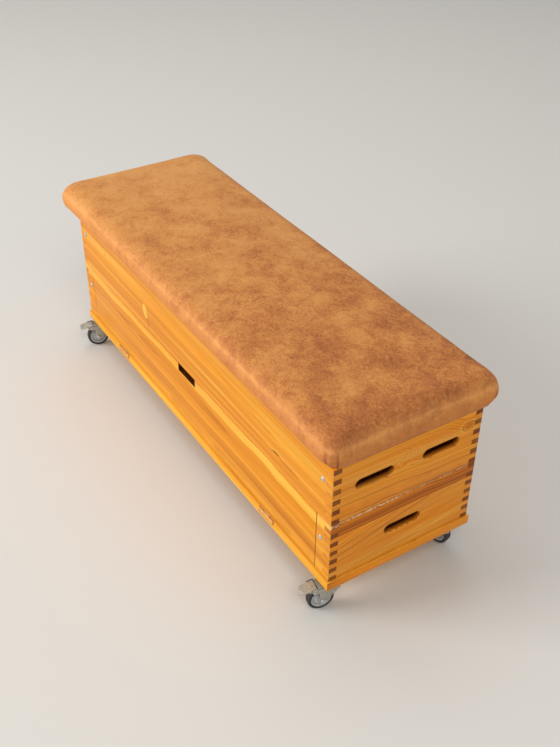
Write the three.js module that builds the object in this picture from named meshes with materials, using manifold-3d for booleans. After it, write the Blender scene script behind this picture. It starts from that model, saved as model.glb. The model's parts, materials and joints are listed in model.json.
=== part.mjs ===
import * as THREE from 'three';
import { mergeVertices } from 'three/addons/utils/BufferGeometryUtils.js';
import Module from 'manifold-3d';

// A vaulting box made into a storage bench: two finger-jointed pine frames stacked on a base
// board with four castors, a drop flap in the lower front, and a padded suede top.
// Millimetres, +Z up, X along the box, -Y is the flap side, the floor is at zero height.

const wasm = await Module();
wasm.setup();

// Sizes of the two wooden frames
const frameLength = 1500;
const frameWidth = 460;
const boardThickness = 25;
const upperHeight = 180;
const lowerHeight = 197;
const upperFingerCount = 11;
const lowerFingerCount = 13;

// Base board that closes the box below
const baseThickness = 27;
const baseLip = 5;

// Hand holes in the short ends
const handHoleLength = 117;
const handHoleHeight = 30;
const upperHandHoleSpacing = 206;
const upperHandHoleDrop = 80;
const lowerHandHoleDrop = 106;

// Posts glued in the corners, bolted through the long sides
const blockWidth = 30;
const guideDepth = 35;
const guideInset = 1.2;
const guideEndClearance = 3;
const boltRadius = 4;
const boltHeadRadius = 7;
const boltHeadHeight = 3.4;
const nutRadius = 6.5;
const nutHeight = 5;
const upperBoltDrop = 54;
const lowerBoltDrop = 69;

// Drop flap sawn out of the lower front board
const stileWidth = 60;
const sawKerf = 2;
const notchWidth = 104;
const notchDepth = 27;
const flapTopGap = 1.5;
const flapBottomGap = 3.5;
const flapSwingClearance = 0.5;

// Butt hinges of the flap
const hingeEndDistance = 229;
const hingeLength = 72;
const knuckleRadius = 4.5;
const hingePinRadius = 1.9;
const leafThickness = 1.7;
const flapLeafWidth = 24;
const baseLeafHeight = 15;
const hingeAxisDrop = 5;
const hingeRecessClearance = 2;

// Padded top
const deckThickness = 12;
const deckOverhangLeft = 70;
const deckOverhangRear = 36;
const deckCornerRadius = 24;
const bulgeFront = 22;
const bulgeRear = 25;
const bulgeLeft = 27;
const bulgeRight = 12;
const padHeight = 86;
const padWidestHeight = 31;
const padEdgeRadius = 44;
const padCornerGrowth = 14;
const crownHeight = 7;
const drawnInLong = 4;
const drawnInShort = 3;
const suedeThickness = 1.8;

// Castors
const castorHeight = 100;
const castorInsetX = 38;
const castorInsetY = 37;
const wheelRadius = 37.5;
const wheelTrail = 28;
const tyreWidth = 24;
const tyreDepth = 8;
const tyreChamfer = 3.5;
const hubWidth = 30;
const hubRadius = 11;
const webThickness = 8;
const webRecess = 2.5;
const rimWidth = 20;
const rimDepth = 4;
const axleRadius = 4;
const axleHeadRadius = 7;
const axleHeadHeight = 3.5;
const plateLength = 68;
const plateWidth = 60;
const plateThickness = 3;
const raceRadius = 25;
const raceHeight = 4;
const crownCupRadius = 23;
const forkThickness = 2.5;
const forkInnerWidth = 33.5;
const forkCrownThickness = 3;
const forkCrownDrop = 15;
const forkCrownLength = 42;
const forkEyeRadius = 10;
const kingpinRadius = 7;
const rivetRadius = 11;
const rivetHeight = 3;
const swivelRestAngles = { front_left: -14, front_right: -10, rear_left: -75, rear_right: -80 };

// Brake on the front castors
const brakePinRadius = 2;
const brakePinReach = 22;
const brakePinDrop = 24;
const brakeEyeRadius = 6;
const brakeArmDepth = 12;
const pedalLength = 44;
const pedalWidth = 34;
const pedalThickness = 2.5;
const pedalSlope = 18;
const pedalRise = 9.5;
const pedalStart = 6;
const pedalEarThickness = 2.4;
const pedalEarRadius = 5;
const pedalLipDrop = 4;
const shoeWidth = 22;
const shoeDepth = 7;
const shoeReach = 4;
const shoeDrop = 8.5;

// Fits
const glueGap = 0.2;
const restGap = 0.3;
const runningGap = 0.3;
const cutOverrun = 5;
const joinOverlap = 0.5;
const roundSegments = 24;
const smallSegments = 12;
const curveSegments = 5;

// Heights worked out from the sizes above
const baseBottom = castorHeight;
const baseTop = baseBottom + baseThickness;
const lowerBottom = baseTop + glueGap;
const seamHeight = baseTop + lowerHeight;
const upperBottom = seamHeight + restGap;
const frameTop = seamHeight + upperHeight;
const halfLength = frameLength / 2;
const halfWidth = frameWidth / 2;
const innerHalfLength = halfLength - boardThickness;
const innerHalfWidth = halfWidth - boardThickness;

const pine = new THREE.MeshStandardMaterial({ color: 0xe89b3c, roughness: 0.5 });
const pineEnd = new THREE.MeshStandardMaterial({ color: 0xc9812f, roughness: 0.5 });
const baseWood = new THREE.MeshStandardMaterial({ color: 0xf0a22e, roughness: 0.45 });
const blockWood = new THREE.MeshStandardMaterial({ color: 0xd9a66a, roughness: 0.6 });
const plywood = new THREE.MeshStandardMaterial({ color: 0xc79a63, roughness: 0.7 });
const foam = new THREE.MeshStandardMaterial({ color: 0xd8cfb4, roughness: 0.95 });
const suede = new THREE.MeshStandardMaterial({ color: 0xb97a45, roughness: 0.85 });
const zinc = new THREE.MeshStandardMaterial({ color: 0xaeb2b0, roughness: 0.35, metalness: 0.9 });
const brass = new THREE.MeshStandardMaterial({ color: 0xd2a44e, roughness: 0.35, metalness: 0.9 });
const wheelPlastic = new THREE.MeshStandardMaterial({ color: 0xa9abad, roughness: 0.5 });
const rubber = new THREE.MeshStandardMaterial({ color: 0x2e2d2c, roughness: 0.8 });

// Turns for pieces drawn flat: the first drives X-Z drawings along -Y, the second Y-Z along +X
const drawnOnLongSide = new THREE.Matrix4().makeBasis(
  new THREE.Vector3(1, 0, 0), new THREE.Vector3(0, 0, 1), new THREE.Vector3(0, -1, 0));
const drawnOnShortEnd = new THREE.Matrix4().makeBasis(
  new THREE.Vector3(0, 1, 0), new THREE.Vector3(0, 0, 1), new THREE.Vector3(1, 0, 0));
const axisAlongX = new THREE.Matrix4().makeBasis(
  new THREE.Vector3(0, 0, 1), new THREE.Vector3(1, 0, 0), new THREE.Vector3(0, 1, 0));
const axisAlongZ = new THREE.Matrix4().makeBasis(
  new THREE.Vector3(1, 0, 0), new THREE.Vector3(0, 0, 1), new THREE.Vector3(0, -1, 0));

function toSolid(geometry) {
  const bare = geometry.clone();
  bare.deleteAttribute('normal');
  bare.deleteAttribute('uv');
  const merged = mergeVertices(bare);
  return new wasm.Manifold(new wasm.Mesh({
    numProp: 3,
    vertProperties: merged.attributes.position.array,
    triVerts: new Uint32Array(merged.index.array),
  }));
}

function toGeometry(solid) {
  const mesh = solid.getMesh();
  const geometry = new THREE.BufferGeometry();
  geometry.setAttribute('position', new THREE.BufferAttribute(new Float32Array(mesh.vertProperties), 3));
  geometry.setIndex(new THREE.BufferAttribute(new Uint32Array(mesh.triVerts), 1));
  return geometry;
}

function joined(first, ...others) {
  return toGeometry(others.reduce((sum, other) => sum.add(toSolid(other)), toSolid(first)));
}

function cutBy(first, ...others) {
  return toGeometry(others.reduce((rest, other) => rest.subtract(toSolid(other)), toSolid(first)));
}

function box(sizeX, sizeY, sizeZ, x, y, z) {
  return new THREE.BoxGeometry(sizeX, sizeY, sizeZ).translate(x, y, z);
}

function boxBetween(low, high) {
  const size = high.map((value, axis) => value - low[axis]);
  const middle = high.map((value, axis) => (value + low[axis]) / 2);
  return box(...size, ...middle);
}

// A turned solid about Y from [radius, height] points that start and end on the axis,
// or that close on themselves round a bore
function turned(points, segments) {
  return new THREE.LatheGeometry(points.map(([r, y]) => new THREE.Vector2(r, y)), segments);
}

function rod(radius, from, to, segments = smallSegments) {
  return turned([[0, from], [radius, from], [radius, to], [0, to]], segments);
}

function outline(points) {
  return new THREE.Shape(points.map(([x, y]) => new THREE.Vector2(x, y)));
}

function roundHole(x, y, radius) {
  const hole = new THREE.Path();
  hole.absarc(x, y, radius, 0, Math.PI * 2);
  return hole;
}

function slotHole(x, y, length, height) {
  const radius = height / 2;
  const reach = length / 2 - radius;
  const hole = new THREE.Path();
  hole.absarc(x + reach, y, radius, -Math.PI / 2, Math.PI / 2);
  hole.absarc(x - reach, y, radius, Math.PI / 2, Math.PI * 3 / 2);
  return hole;
}

function extruded(shape, depth) {
  return new THREE.ExtrudeGeometry(shape, { depth, bevelEnabled: false, curveSegments });
}

function named(name, geometry, material) {
  const mesh = new THREE.Mesh(geometry, material);
  mesh.name = name;
  return mesh;
}

function placed(object, x, y, z) {
  object.position.set(x, y, z);
  return object;
}

// One edge of a finger joint, from the bottom up: fingers reach the outer line, the others stop
// at the inner line, and each finger is shaved so that glue fits round it
function fingerEdge(outer, inner, height, count, fingerFirst) {
  const step = height / count;
  const shave = glueGap / 2;
  const points = [];
  for (let index = 0; index < count; index += 1) {
    const isFinger = (index % 2 === 0) === fingerFirst;
    const side = isFinger ? outer : inner;
    const trim = isFinger ? shave : -shave;
    const bottom = index === 0 ? 0 : index * step + trim;
    const top = index === count - 1 ? height : (index + 1) * step - trim;
    points.push([side, bottom], [side, top]);
  }
  return points;
}

function fingeredBoard(half, height, count, fingerFirst) {
  const inner = half - boardThickness - glueGap;
  const right = fingerEdge(half, inner, height, count, fingerFirst);
  const left = fingerEdge(-half, -inner, height, count, fingerFirst).reverse();
  return outline([...right, ...left]);
}

const boltX = innerHalfLength - glueGap - blockWidth / 2;

function longBoard(name, height, count, boltDrop) {
  const shape = fingeredBoard(halfLength, height, count, true);
  for (const side of [-1, 1]) {
    shape.holes.push(roundHole(side * boltX, height - boltDrop, boltRadius + runningGap));
  }
  return named(name, extruded(shape, boardThickness).applyMatrix4(drawnOnLongSide), pine);
}

function endBoard(name, height, count, holes) {
  const shape = fingeredBoard(halfWidth, height, count, false);
  shape.holes.push(...holes);
  return named(name, extruded(shape, boardThickness).applyMatrix4(drawnOnShortEnd), pineEnd);
}

// Corners are told apart by their signs along X and Y
const corners = {
  front_left: [-1, -1],
  front_right: [1, -1],
  rear_left: [-1, 1],
  rear_right: [1, 1],
};

function cornerBlock(name, [signX, signY], bottom, top, boltHeight, guide) {
  const height = top - bottom - guide;
  let post = box(blockWidth, blockWidth, height, 0, 0, top - height / 2);
  if (guide > 0) {
    const slim = blockWidth - guideInset;
    const shift = guideInset / 2;
    const length = guide + joinOverlap;
    const tongue = box(slim, slim, length, -signX * shift, -signY * shift, bottom + length / 2);
    post = joined(post, tongue);
  }
  const bore = rod(boltRadius + runningGap, -blockWidth, blockWidth).translate(0, 0, boltHeight);
  const y = innerHalfWidth - glueGap - blockWidth / 2;
  return placed(named(name, cutBy(post, bore), blockWood), signX * boltX, signY * y, 0);
}

// Round-headed bolt through a long board and its corner post, with its nut run up inside
function sideBolt(name, [signX, signY], height) {
  const grip = boardThickness + blockWidth + 2 * glueGap;
  const points = [
    [0, boltHeadHeight + glueGap],
    [boltHeadRadius * 0.6, boltHeadHeight * 0.85 + glueGap],
    [boltHeadRadius, boltHeadHeight * 0.3 + glueGap],
    [boltHeadRadius, glueGap],
    [boltRadius, glueGap],
    [boltRadius, -grip - glueGap],
    [nutRadius, -grip - glueGap],
    [nutRadius, -grip - glueGap - nutHeight],
    [0, -grip - glueGap - nutHeight],
  ];
  const geometry = turned(points.reverse(), smallSegments);
  if (signY < 0) {
    geometry.rotateX(Math.PI);
  }
  return placed(named(name, geometry, zinc), signX * boltX, signY * halfWidth, height);
}

function upperFrame() {
  const frame = new THREE.Group();
  const height = upperHeight - restGap;
  const holes = () => [-1, 1].map((side) =>
    slotHole(side * upperHandHoleSpacing / 2, height - upperHandHoleDrop, handHoleLength, handHoleHeight));
  const front = longBoard('upper_front_board', height, upperFingerCount, upperBoltDrop);
  const rear = longBoard('upper_rear_board', height, upperFingerCount, upperBoltDrop);
  const left = endBoard('upper_left_end', height, upperFingerCount, holes());
  const right = endBoard('upper_right_end', height, upperFingerCount, holes());
  frame.add(placed(front, 0, -innerHalfWidth, upperBottom));
  frame.add(placed(rear, 0, halfWidth, upperBottom));
  frame.add(placed(left, -halfLength, 0, upperBottom));
  frame.add(placed(right, innerHalfLength, 0, upperBottom));
  for (const [corner, signs] of Object.entries(corners)) {
    const bottom = upperBottom - guideDepth;
    const boltHeight = frameTop - upperBoltDrop;
    frame.add(cornerBlock(`upper_corner_block_${corner}`, signs, bottom, frameTop, boltHeight, guideDepth));
    frame.add(sideBolt(`upper_bolt_${corner}`, signs, boltHeight));
  }
  return frame;
}

const hingeAxisY = -halfWidth - knuckleRadius - runningGap;
const hingeAxisZ = baseTop - hingeAxisDrop;
const flapBottom = baseTop + flapBottomGap;
const flapTop = upperBottom - flapTopGap;
const flapDepthBehindAxis = -innerHalfWidth - hingeAxisY;
const flapSwingRadius = upperBottom - hingeAxisZ - flapSwingClearance;
const flapInnerTop = hingeAxisZ + Math.sqrt(flapSwingRadius ** 2 - flapDepthBehindAxis ** 2);
const flapHalfLength = halfLength - stileWidth - sawKerf;
const hingeMiddle = flapHalfLength - hingeEndDistance;

function stile(name, side) {
  const inner = halfLength - boardThickness - glueGap;
  const height = lowerHeight - glueGap;
  const fingers = fingerEdge(side * halfLength, side * inner, height, lowerFingerCount, true);
  const sawn = side * (halfLength - stileWidth);
  const shape = outline([[sawn, 0], ...fingers, [sawn, height]]);
  shape.holes.push(roundHole(side * boltX, height - lowerBoltDrop, boltRadius + runningGap));
  const geometry = extruded(shape, boardThickness).applyMatrix4(drawnOnLongSide);
  return placed(named(name, geometry, pine), 0, -innerHalfWidth, lowerBottom);
}

function lowerFrame() {
  const frame = new THREE.Group();
  const height = lowerHeight - glueGap;
  const hole = () => [slotHole(0, height - lowerHandHoleDrop, handHoleLength, handHoleHeight)];
  const rear = longBoard('lower_rear_board', height, lowerFingerCount, lowerBoltDrop);
  const left = endBoard('lower_left_end', height, lowerFingerCount, hole());
  const right = endBoard('lower_right_end', height, lowerFingerCount, hole());
  frame.add(placed(rear, 0, halfWidth, lowerBottom));
  frame.add(placed(left, -halfLength, 0, lowerBottom));
  frame.add(placed(right, innerHalfLength, 0, lowerBottom));
  frame.add(stile('lower_left_stile', -1));
  frame.add(stile('lower_right_stile', 1));
  for (const [corner, signs] of Object.entries(corners)) {
    const top = upperBottom - guideDepth - guideEndClearance;
    const boltHeight = seamHeight - lowerBoltDrop;
    frame.add(cornerBlock(`lower_corner_block_${corner}`, signs, lowerBottom, top, boltHeight, 0));
    frame.add(sideBolt(`lower_bolt_${corner}`, signs, boltHeight));
  }
  return frame;
}

// The flap's top is planed down towards the inside, so that it swings clear of the frame above
function dropFlap() {
  const section = outline([
    [-halfWidth, flapBottom], [-innerHalfWidth, flapBottom],
    [-innerHalfWidth, Math.min(flapInnerTop, flapTop)], [-halfWidth, flapTop],
  ]);
  const board = extruded(section, 2 * flapHalfLength).applyMatrix4(drawnOnShortEnd)
    .translate(-flapHalfLength, 0, 0);
  const notch = boxBetween([-notchWidth / 2, -halfWidth - cutOverrun, flapTop - notchDepth],
    [notchWidth / 2, -innerHalfWidth + cutOverrun, flapTop + cutOverrun]);
  return named('drop_flap', cutBy(board, notch), pine);
}

const hingeRecessDepth = hingeAxisDrop + baseLeafHeight + runningGap;

function baseBoard() {
  const x = halfLength + baseLip;
  const y = halfWidth + baseLip;
  const board = boxBetween([-x, -y, baseBottom], [x, y, baseTop]);
  const recesses = [-hingeMiddle, hingeMiddle].map((middle) => {
    const half = hingeLength / 2 + hingeRecessClearance;
    return boxBetween([middle - half, -y - cutOverrun, baseTop - hingeRecessDepth],
      [middle + half, -halfWidth, baseTop + cutOverrun]);
  });
  return named('base_board', cutBy(board, ...recesses), baseWood);
}

// Three-knuckle butt hinge: the outer knuckles belong to the leaf let into the base board, the
// middle one to the leaf cranked up and back under the flap
function hinge(name, x) {
  const group = new THREE.Group();
  const half = hingeLength / 2;
  const third = hingeLength / 3;
  const knuckle = (from, to, radius) => rod(radius, from, to).applyMatrix4(axisAlongX);
  const bore = () => knuckle(-hingeLength, hingeLength, hingePinRadius + runningGap);
  const middleEnd = third / 2 - runningGap / 2;
  const outerStart = third / 2 + runningGap / 2;
  const clearRadius = knuckleRadius + runningGap;
  const leafFront = knuckleRadius - leafThickness;
  const flapLeafTop = flapBottom - runningGap - hingeAxisZ;
  const basePlate = cutBy(
    boxBetween([-half, leafFront, -baseLeafHeight], [half, knuckleRadius, 0]),
    knuckle(-middleEnd - runningGap, middleEnd + runningGap, clearRadius));
  const baseLeaf = cutBy(
    joined(basePlate, knuckle(-half, -outerStart, knuckleRadius), knuckle(outerStart, half, knuckleRadius)),
    bore());
  const flapFace = -halfWidth - hingeAxisY;
  const flapPlate = boxBetween([-half, flapFace, flapLeafTop - leafThickness],
    [half, flapFace + flapLeafWidth, flapLeafTop]);
  const tab = boxBetween([-middleEnd, leafFront, flapLeafTop - leafThickness],
    [middleEnd, flapFace + joinOverlap, flapLeafTop]);
  const crank = boxBetween([-middleEnd, leafFront, 0], [middleEnd, knuckleRadius, flapLeafTop]);
  const flapKnuckle = knuckle(-middleEnd, middleEnd, knuckleRadius);
  const flapLeaf = cutBy(joined(flapPlate, tab, crank, flapKnuckle), bore());
  group.add(named(`${name}_hinge_base_leaf`, baseLeaf, brass));
  group.add(named(`${name}_hinge_flap_leaf`, flapLeaf, brass));
  group.add(named(`${name}_hinge_pin`, knuckle(-half, half, hingePinRadius), brass));
  return placed(group, x, hingeAxisY, hingeAxisZ);
}

// Plan of the deck: flush at the front and right, longer at the left and rear
const deckTop = frameTop + restGap + deckThickness;
const edgeLines = {
  left: -halfLength - deckOverhangLeft,
  right: halfLength,
  front: -halfWidth,
  rear: halfWidth + deckOverhangRear,
};

// Points round a rectangle with rounded corners, starting at the right end of the front side
function roundedPlan(left, right, front, rear, radius, arcSteps, longSteps, shortSteps) {
  const points = [];
  const turns = [
    [right - radius, front + radius, -Math.PI / 2, shortSteps, [0, 1], rear - front - 2 * radius],
    [right - radius, rear - radius, 0, longSteps, [-1, 0], right - left - 2 * radius],
    [left + radius, rear - radius, Math.PI / 2, shortSteps, [0, -1], rear - front - 2 * radius],
    [left + radius, front + radius, Math.PI, longSteps, [1, 0], right - left - 2 * radius],
  ];
  for (const [x, y, start, steps, direction, run] of turns) {
    for (let step = 0; step <= arcSteps; step += 1) {
      const angle = start + Math.PI / 2 * step / arcSteps;
      points.push([x + radius * Math.cos(angle), y + radius * Math.sin(angle)]);
    }
    const [endX, endY] = points[points.length - 1];
    for (let step = 1; step < steps; step += 1) {
      const gone = run * step / steps;
      points.push([endX + direction[0] * gone, endY + direction[1] * gone]);
    }
  }
  return points;
}

const padArcSteps = 4;
const padLongSteps = 8;
const padShortSteps = 4;
const foamFloorAngle = Math.acos(1 - (deckThickness + restGap) / padWidestHeight);
const lowerProfileAngles = [0, foamFloorAngle, Math.PI / 2];
const upperProfileAngles = [Math.PI / 6, Math.PI / 3, Math.PI / 2];
const topRingShares = [0.8, 0.45, 0.12];

// One ring of the cushion: bulge is the share of the side's swelling, drop is taken off all round
function padRing(bulge, roundIn, inset, height, widening) {
  const left = edgeLines.left - bulgeLeft * bulge + roundIn + inset;
  const right = edgeLines.right + bulgeRight * bulge - roundIn - inset;
  const front = edgeLines.front - bulgeFront * bulge + roundIn + inset;
  const rear = edgeLines.rear + bulgeRear * bulge - roundIn - inset;
  const radius = deckCornerRadius + padCornerGrowth * bulge - inset;
  const plan = roundedPlan(left, right, front, rear, radius, padArcSteps, padLongSteps, padShortSteps);
  const middleX = (left + right) / 2;
  const middleY = (front + rear) / 2;
  const straightX = (right - left) / 2 - radius;
  const straightY = (rear - front) / 2 - radius;
  return plan.map(([x, y]) => {
    const alongX = Math.min(1, Math.abs(x - middleX) / straightX);
    const alongY = Math.min(1, Math.abs(y - middleY) / straightY);
    const pullY = drawnInLong * widening * (1 - alongX ** 2) * Math.sign(y - middleY);
    const pullX = drawnInShort * widening * (1 - alongY ** 2) * Math.sign(x - middleX);
    return [x - pullX, y - pullY, height];
  });
}

function padRings(inset, startAngle) {
  const rings = [];
  const base = frameTop + restGap;
  const rise = padHeight - padWidestHeight - inset;
  for (const angle of lowerProfileAngles.filter((value) => value >= startAngle)) {
    const height = base + padWidestHeight * (1 - Math.cos(angle));
    rings.push(padRing(Math.sin(angle), 0, inset, height, Math.sin(angle)));
  }
  for (const angle of upperProfileAngles) {
    const roundIn = padEdgeRadius * (1 - Math.cos(angle));
    rings.push(padRing(1, roundIn, inset, base + padWidestHeight + rise * Math.sin(angle), Math.cos(angle)));
  }
  const brow = rings[rings.length - 1];
  const middle = brow.reduce(([x, y], [px, py]) => [x + px / brow.length, y + py / brow.length], [0, 0]);
  const top = brow[0][2];
  for (const share of topRingShares) {
    const lift = crownHeight * (1 - share ** 2);
    rings.push(brow.map(([x, y]) =>
      [middle[0] + (x - middle[0]) * share, middle[1] + (y - middle[1]) * share, top + lift]));
  }
  return { rings, peak: [middle[0], middle[1], top + crownHeight] };
}

// Skins rings of equal count together; each peak closes an end as a fan
function skinned(rings, firstPeak, lastPeak) {
  const count = rings[0].length;
  const positions = [...rings.flat(), firstPeak, lastPeak].flat();
  const firstIndex = rings.length * count;
  const faces = [];
  for (let step = 0; step < count; step += 1) {
    const next = (step + 1) % count;
    faces.push(firstIndex, next, step);
    for (let ring = 0; ring < rings.length - 1; ring += 1) {
      const low = ring * count;
      const high = low + count;
      faces.push(low + step, low + next, high + next, low + step, high + next, high + step);
    }
    const last = (rings.length - 1) * count;
    faces.push(last + step, last + next, firstIndex + 1);
  }
  const geometry = new THREE.BufferGeometry();
  geometry.setAttribute('position', new THREE.BufferAttribute(new Float32Array(positions), 3));
  geometry.setIndex(faces);
  return geometry;
}

function paddedTop() {
  const top = new THREE.Group();
  const { left, right, front, rear } = edgeLines;
  const edge = suedeThickness + restGap;
  const deckPlan = roundedPlan(left + edge, right - edge, front + edge, rear - edge,
    deckCornerRadius - edge, padArcSteps, 1, 1);
  const deck = named('top_deck', extruded(outline(deckPlan), deckThickness), plywood);
  top.add(placed(deck, 0, 0, frameTop + restGap));

  const outer = padRings(0, 0);
  const inner = padRings(suedeThickness, 0);
  const shellRings = [...inner.rings.slice().reverse(), ...outer.rings];
  top.add(named('suede_cover', skinned(shellRings, inner.peak, outer.peak), suede));

  const filling = padRings(suedeThickness + restGap, foamFloorAngle);
  const floorMiddle = [filling.peak[0], filling.peak[1], deckTop + restGap];
  top.add(named('foam_padding', skinned(filling.rings, floorMiddle, filling.peak), foam));
  return top;
}

// Castor seen from its kingpin: the wheel trails towards -Y and rolls about X
const forkCrownBottom = castorHeight - forkCrownDrop - forkCrownThickness;
const forkCrownTop = castorHeight - forkCrownDrop;
const forkOuterHalf = forkInnerWidth / 2 + forkThickness;
const brakePinY = -wheelTrail - brakePinReach;
const brakePinZ = castorHeight - brakePinDrop;

function castorPlate(name) {
  const raceTop = castorHeight - plateThickness;
  const plate = boxBetween([-plateLength / 2, -plateWidth / 2, raceTop],
    [plateLength / 2, plateWidth / 2, castorHeight - glueGap]);
  const rivetTop = forkCrownBottom - runningGap;
  const spindle = turned([
    [0, rivetTop - rivetHeight], [rivetRadius, rivetTop - rivetHeight], [rivetRadius, rivetTop],
    [kingpinRadius, rivetTop], [kingpinRadius, raceTop - raceHeight], [raceRadius, raceTop - raceHeight],
    [raceRadius, raceTop + joinOverlap], [0, raceTop + joinOverlap],
  ], roundSegments).applyMatrix4(axisAlongZ);
  return named(name, joined(plate, spindle), zinc);
}

function forkSide(braked) {
  const leg = new THREE.Shape();
  const half = forkCrownLength / 2;
  leg.moveTo(half, forkCrownTop);
  leg.lineTo(half, forkCrownBottom - forkEyeRadius);
  leg.absarc(-wheelTrail, wheelRadius, forkEyeRadius, -Math.PI / 4, Math.PI * 9 / 8 - Math.PI * 2, true);
  if (braked) {
    leg.lineTo(brakePinY + brakeEyeRadius, brakePinZ - brakeArmDepth / 2);
    leg.absarc(brakePinY, brakePinZ, brakeEyeRadius, -Math.PI / 2, Math.PI / 2 - Math.PI * 2, true);
    leg.lineTo(-half, forkCrownTop);
  } else {
    leg.lineTo(-half, forkCrownBottom);
    leg.lineTo(-half, forkCrownTop);
  }
  leg.holes.push(roundHole(-wheelTrail, wheelRadius, axleRadius + runningGap));
  if (braked) {
    leg.holes.push(roundHole(brakePinY, brakePinZ, brakePinRadius + runningGap));
  }
  return extruded(leg, forkThickness).applyMatrix4(drawnOnShortEnd);
}

function castorFork(name, braked) {
  const cupTop = castorHeight - plateThickness - raceHeight - runningGap;
  const crown = boxBetween([-forkOuterHalf, -forkCrownLength / 2, forkCrownBottom],
    [forkOuterHalf, forkCrownLength / 2, forkCrownTop]);
  const cup = rod(crownCupRadius, forkCrownTop - joinOverlap, cupTop, roundSegments).applyMatrix4(axisAlongZ);
  const bore = rod(kingpinRadius + runningGap, 0, castorHeight).applyMatrix4(axisAlongZ);
  const near = forkSide(braked).translate(forkInnerWidth / 2, 0, 0);
  const far = forkSide(braked).translate(-forkOuterHalf, 0, 0);
  return named(name, cutBy(joined(crown, near, far, cup), bore), zinc);
}

// Wheel and tyre are turned by half a facet, so that one facet lies flat on the floor
const facetTurn = Math.PI / roundSegments;

function castorWheel(name) {
  const hub = hubWidth / 2;
  const web = webThickness / 2;
  const rim = rimWidth / 2;
  const bore = axleRadius + runningGap;
  const rimOuter = wheelRadius - tyreDepth - runningGap;
  const rimInner = rimOuter - rimDepth;
  const geometry = turned([
    [bore, -hub], [hubRadius, -hub], [hubRadius + webRecess, -web], [rimInner, -web],
    [rimInner, -rim], [rimOuter, -rim], [rimOuter, rim], [rimInner, rim], [rimInner, web],
    [hubRadius + webRecess, web], [hubRadius, hub], [bore, hub], [bore, -hub],
  ], roundSegments).applyMatrix4(axisAlongX).rotateX(facetTurn);
  return placed(named(name, geometry, wheelPlastic), 0, -wheelTrail, wheelRadius);
}

function castorTyre(name) {
  const half = tyreWidth / 2;
  const inner = wheelRadius - tyreDepth;
  const outer = wheelRadius / Math.cos(facetTurn);
  const geometry = turned([
    [inner, -half], [outer - tyreChamfer, -half], [outer, -half + tyreChamfer],
    [outer, half - tyreChamfer], [outer - tyreChamfer, half], [inner, half], [inner, -half],
  ], roundSegments).applyMatrix4(axisAlongX).rotateX(facetTurn);
  return placed(named(name, geometry, rubber), 0, -wheelTrail, wheelRadius);
}

function castorAxle(name) {
  const grip = forkOuterHalf + glueGap;
  const geometry = turned([
    [0, -grip - axleHeadHeight], [axleHeadRadius, -grip - axleHeadHeight], [axleHeadRadius, -grip],
    [axleRadius, -grip], [axleRadius, grip], [axleHeadRadius, grip],
    [axleHeadRadius, grip + axleHeadHeight], [0, grip + axleHeadHeight],
  ], smallSegments).applyMatrix4(axisAlongX);
  return placed(named(name, geometry, zinc), 0, -wheelTrail, wheelRadius);
}

// Foot pedal of the brake, drawn round its own pin; its shoe hangs over the tyre
function brakePedal(name) {
  const slope = THREE.MathUtils.degToRad(pedalSlope);
  const sloped = (geometry) => geometry.rotateX(slope).translate(0, pedalStart, pedalRise);
  const underPlate = (y) => pedalRise - (pedalStart - y) * Math.tan(slope) + joinOverlap;
  const plate = sloped(boxBetween([-pedalWidth / 2, -pedalLength, 0], [pedalWidth / 2, 0, pedalThickness]));
  const lip = sloped(boxBetween([-pedalWidth / 2, -pedalLength, -pedalLipDrop],
    [pedalWidth / 2, -pedalLength + pedalThickness, joinOverlap]));
  const earShape = new THREE.Shape();
  earShape.moveTo(-pedalEarRadius, 0);
  earShape.absarc(0, 0, pedalEarRadius, Math.PI, Math.PI * 2);
  earShape.lineTo(pedalEarRadius, underPlate(pedalEarRadius));
  earShape.lineTo(-pedalEarRadius, underPlate(-pedalEarRadius));
  const ear = (x) => extruded(earShape, pedalEarThickness).applyMatrix4(drawnOnShortEnd).translate(x, 0, 0);
  const shoeBack = -shoeReach - shoeDepth;
  const shoeShape = outline([
    [shoeBack, -shoeDrop], [-shoeReach, -shoeDrop],
    [-shoeReach, underPlate(-shoeReach)], [shoeBack, underPlate(shoeBack)],
  ]);
  const shoe = extruded(shoeShape, shoeWidth).applyMatrix4(drawnOnShortEnd).translate(-shoeWidth / 2, 0, 0);
  const earOuter = forkInnerWidth / 2 - runningGap;
  const bore = rod(brakePinRadius + runningGap, -forkInnerWidth, forkInnerWidth).applyMatrix4(axisAlongX);
  const geometry = cutBy(joined(plate, lip, shoe, ear(earOuter - pedalEarThickness), ear(-earOuter)), bore);
  return placed(named(name, geometry, zinc), 0, brakePinY, brakePinZ);
}

function brakePin(name) {
  const reach = forkOuterHalf;
  const geometry = rod(brakePinRadius, -reach, reach, 8).applyMatrix4(axisAlongX);
  return placed(named(name, geometry, zinc), 0, brakePinY, brakePinZ);
}

function castor(corner, [signX, signY]) {
  const braked = signY < 0;
  const whole = new THREE.Group();
  const turning = new THREE.Group();
  turning.rotation.z = THREE.MathUtils.degToRad(swivelRestAngles[corner]);
  turning.add(castorFork(`castor_fork_${corner}`, braked));
  turning.add(castorWheel(`castor_wheel_${corner}`));
  turning.add(castorTyre(`castor_tyre_${corner}`));
  turning.add(castorAxle(`castor_axle_${corner}`));
  if (braked) {
    turning.add(brakePedal(`brake_pedal_${corner}`));
    turning.add(brakePin(`brake_pin_${corner}`));
  }
  whole.add(castorPlate(`castor_plate_${corner}`), turning);
  const x = signX * (halfLength + baseLip - castorInsetX);
  const y = signY * (halfWidth + baseLip - castorInsetY);
  return placed(whole, x, y, 0);
}

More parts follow.
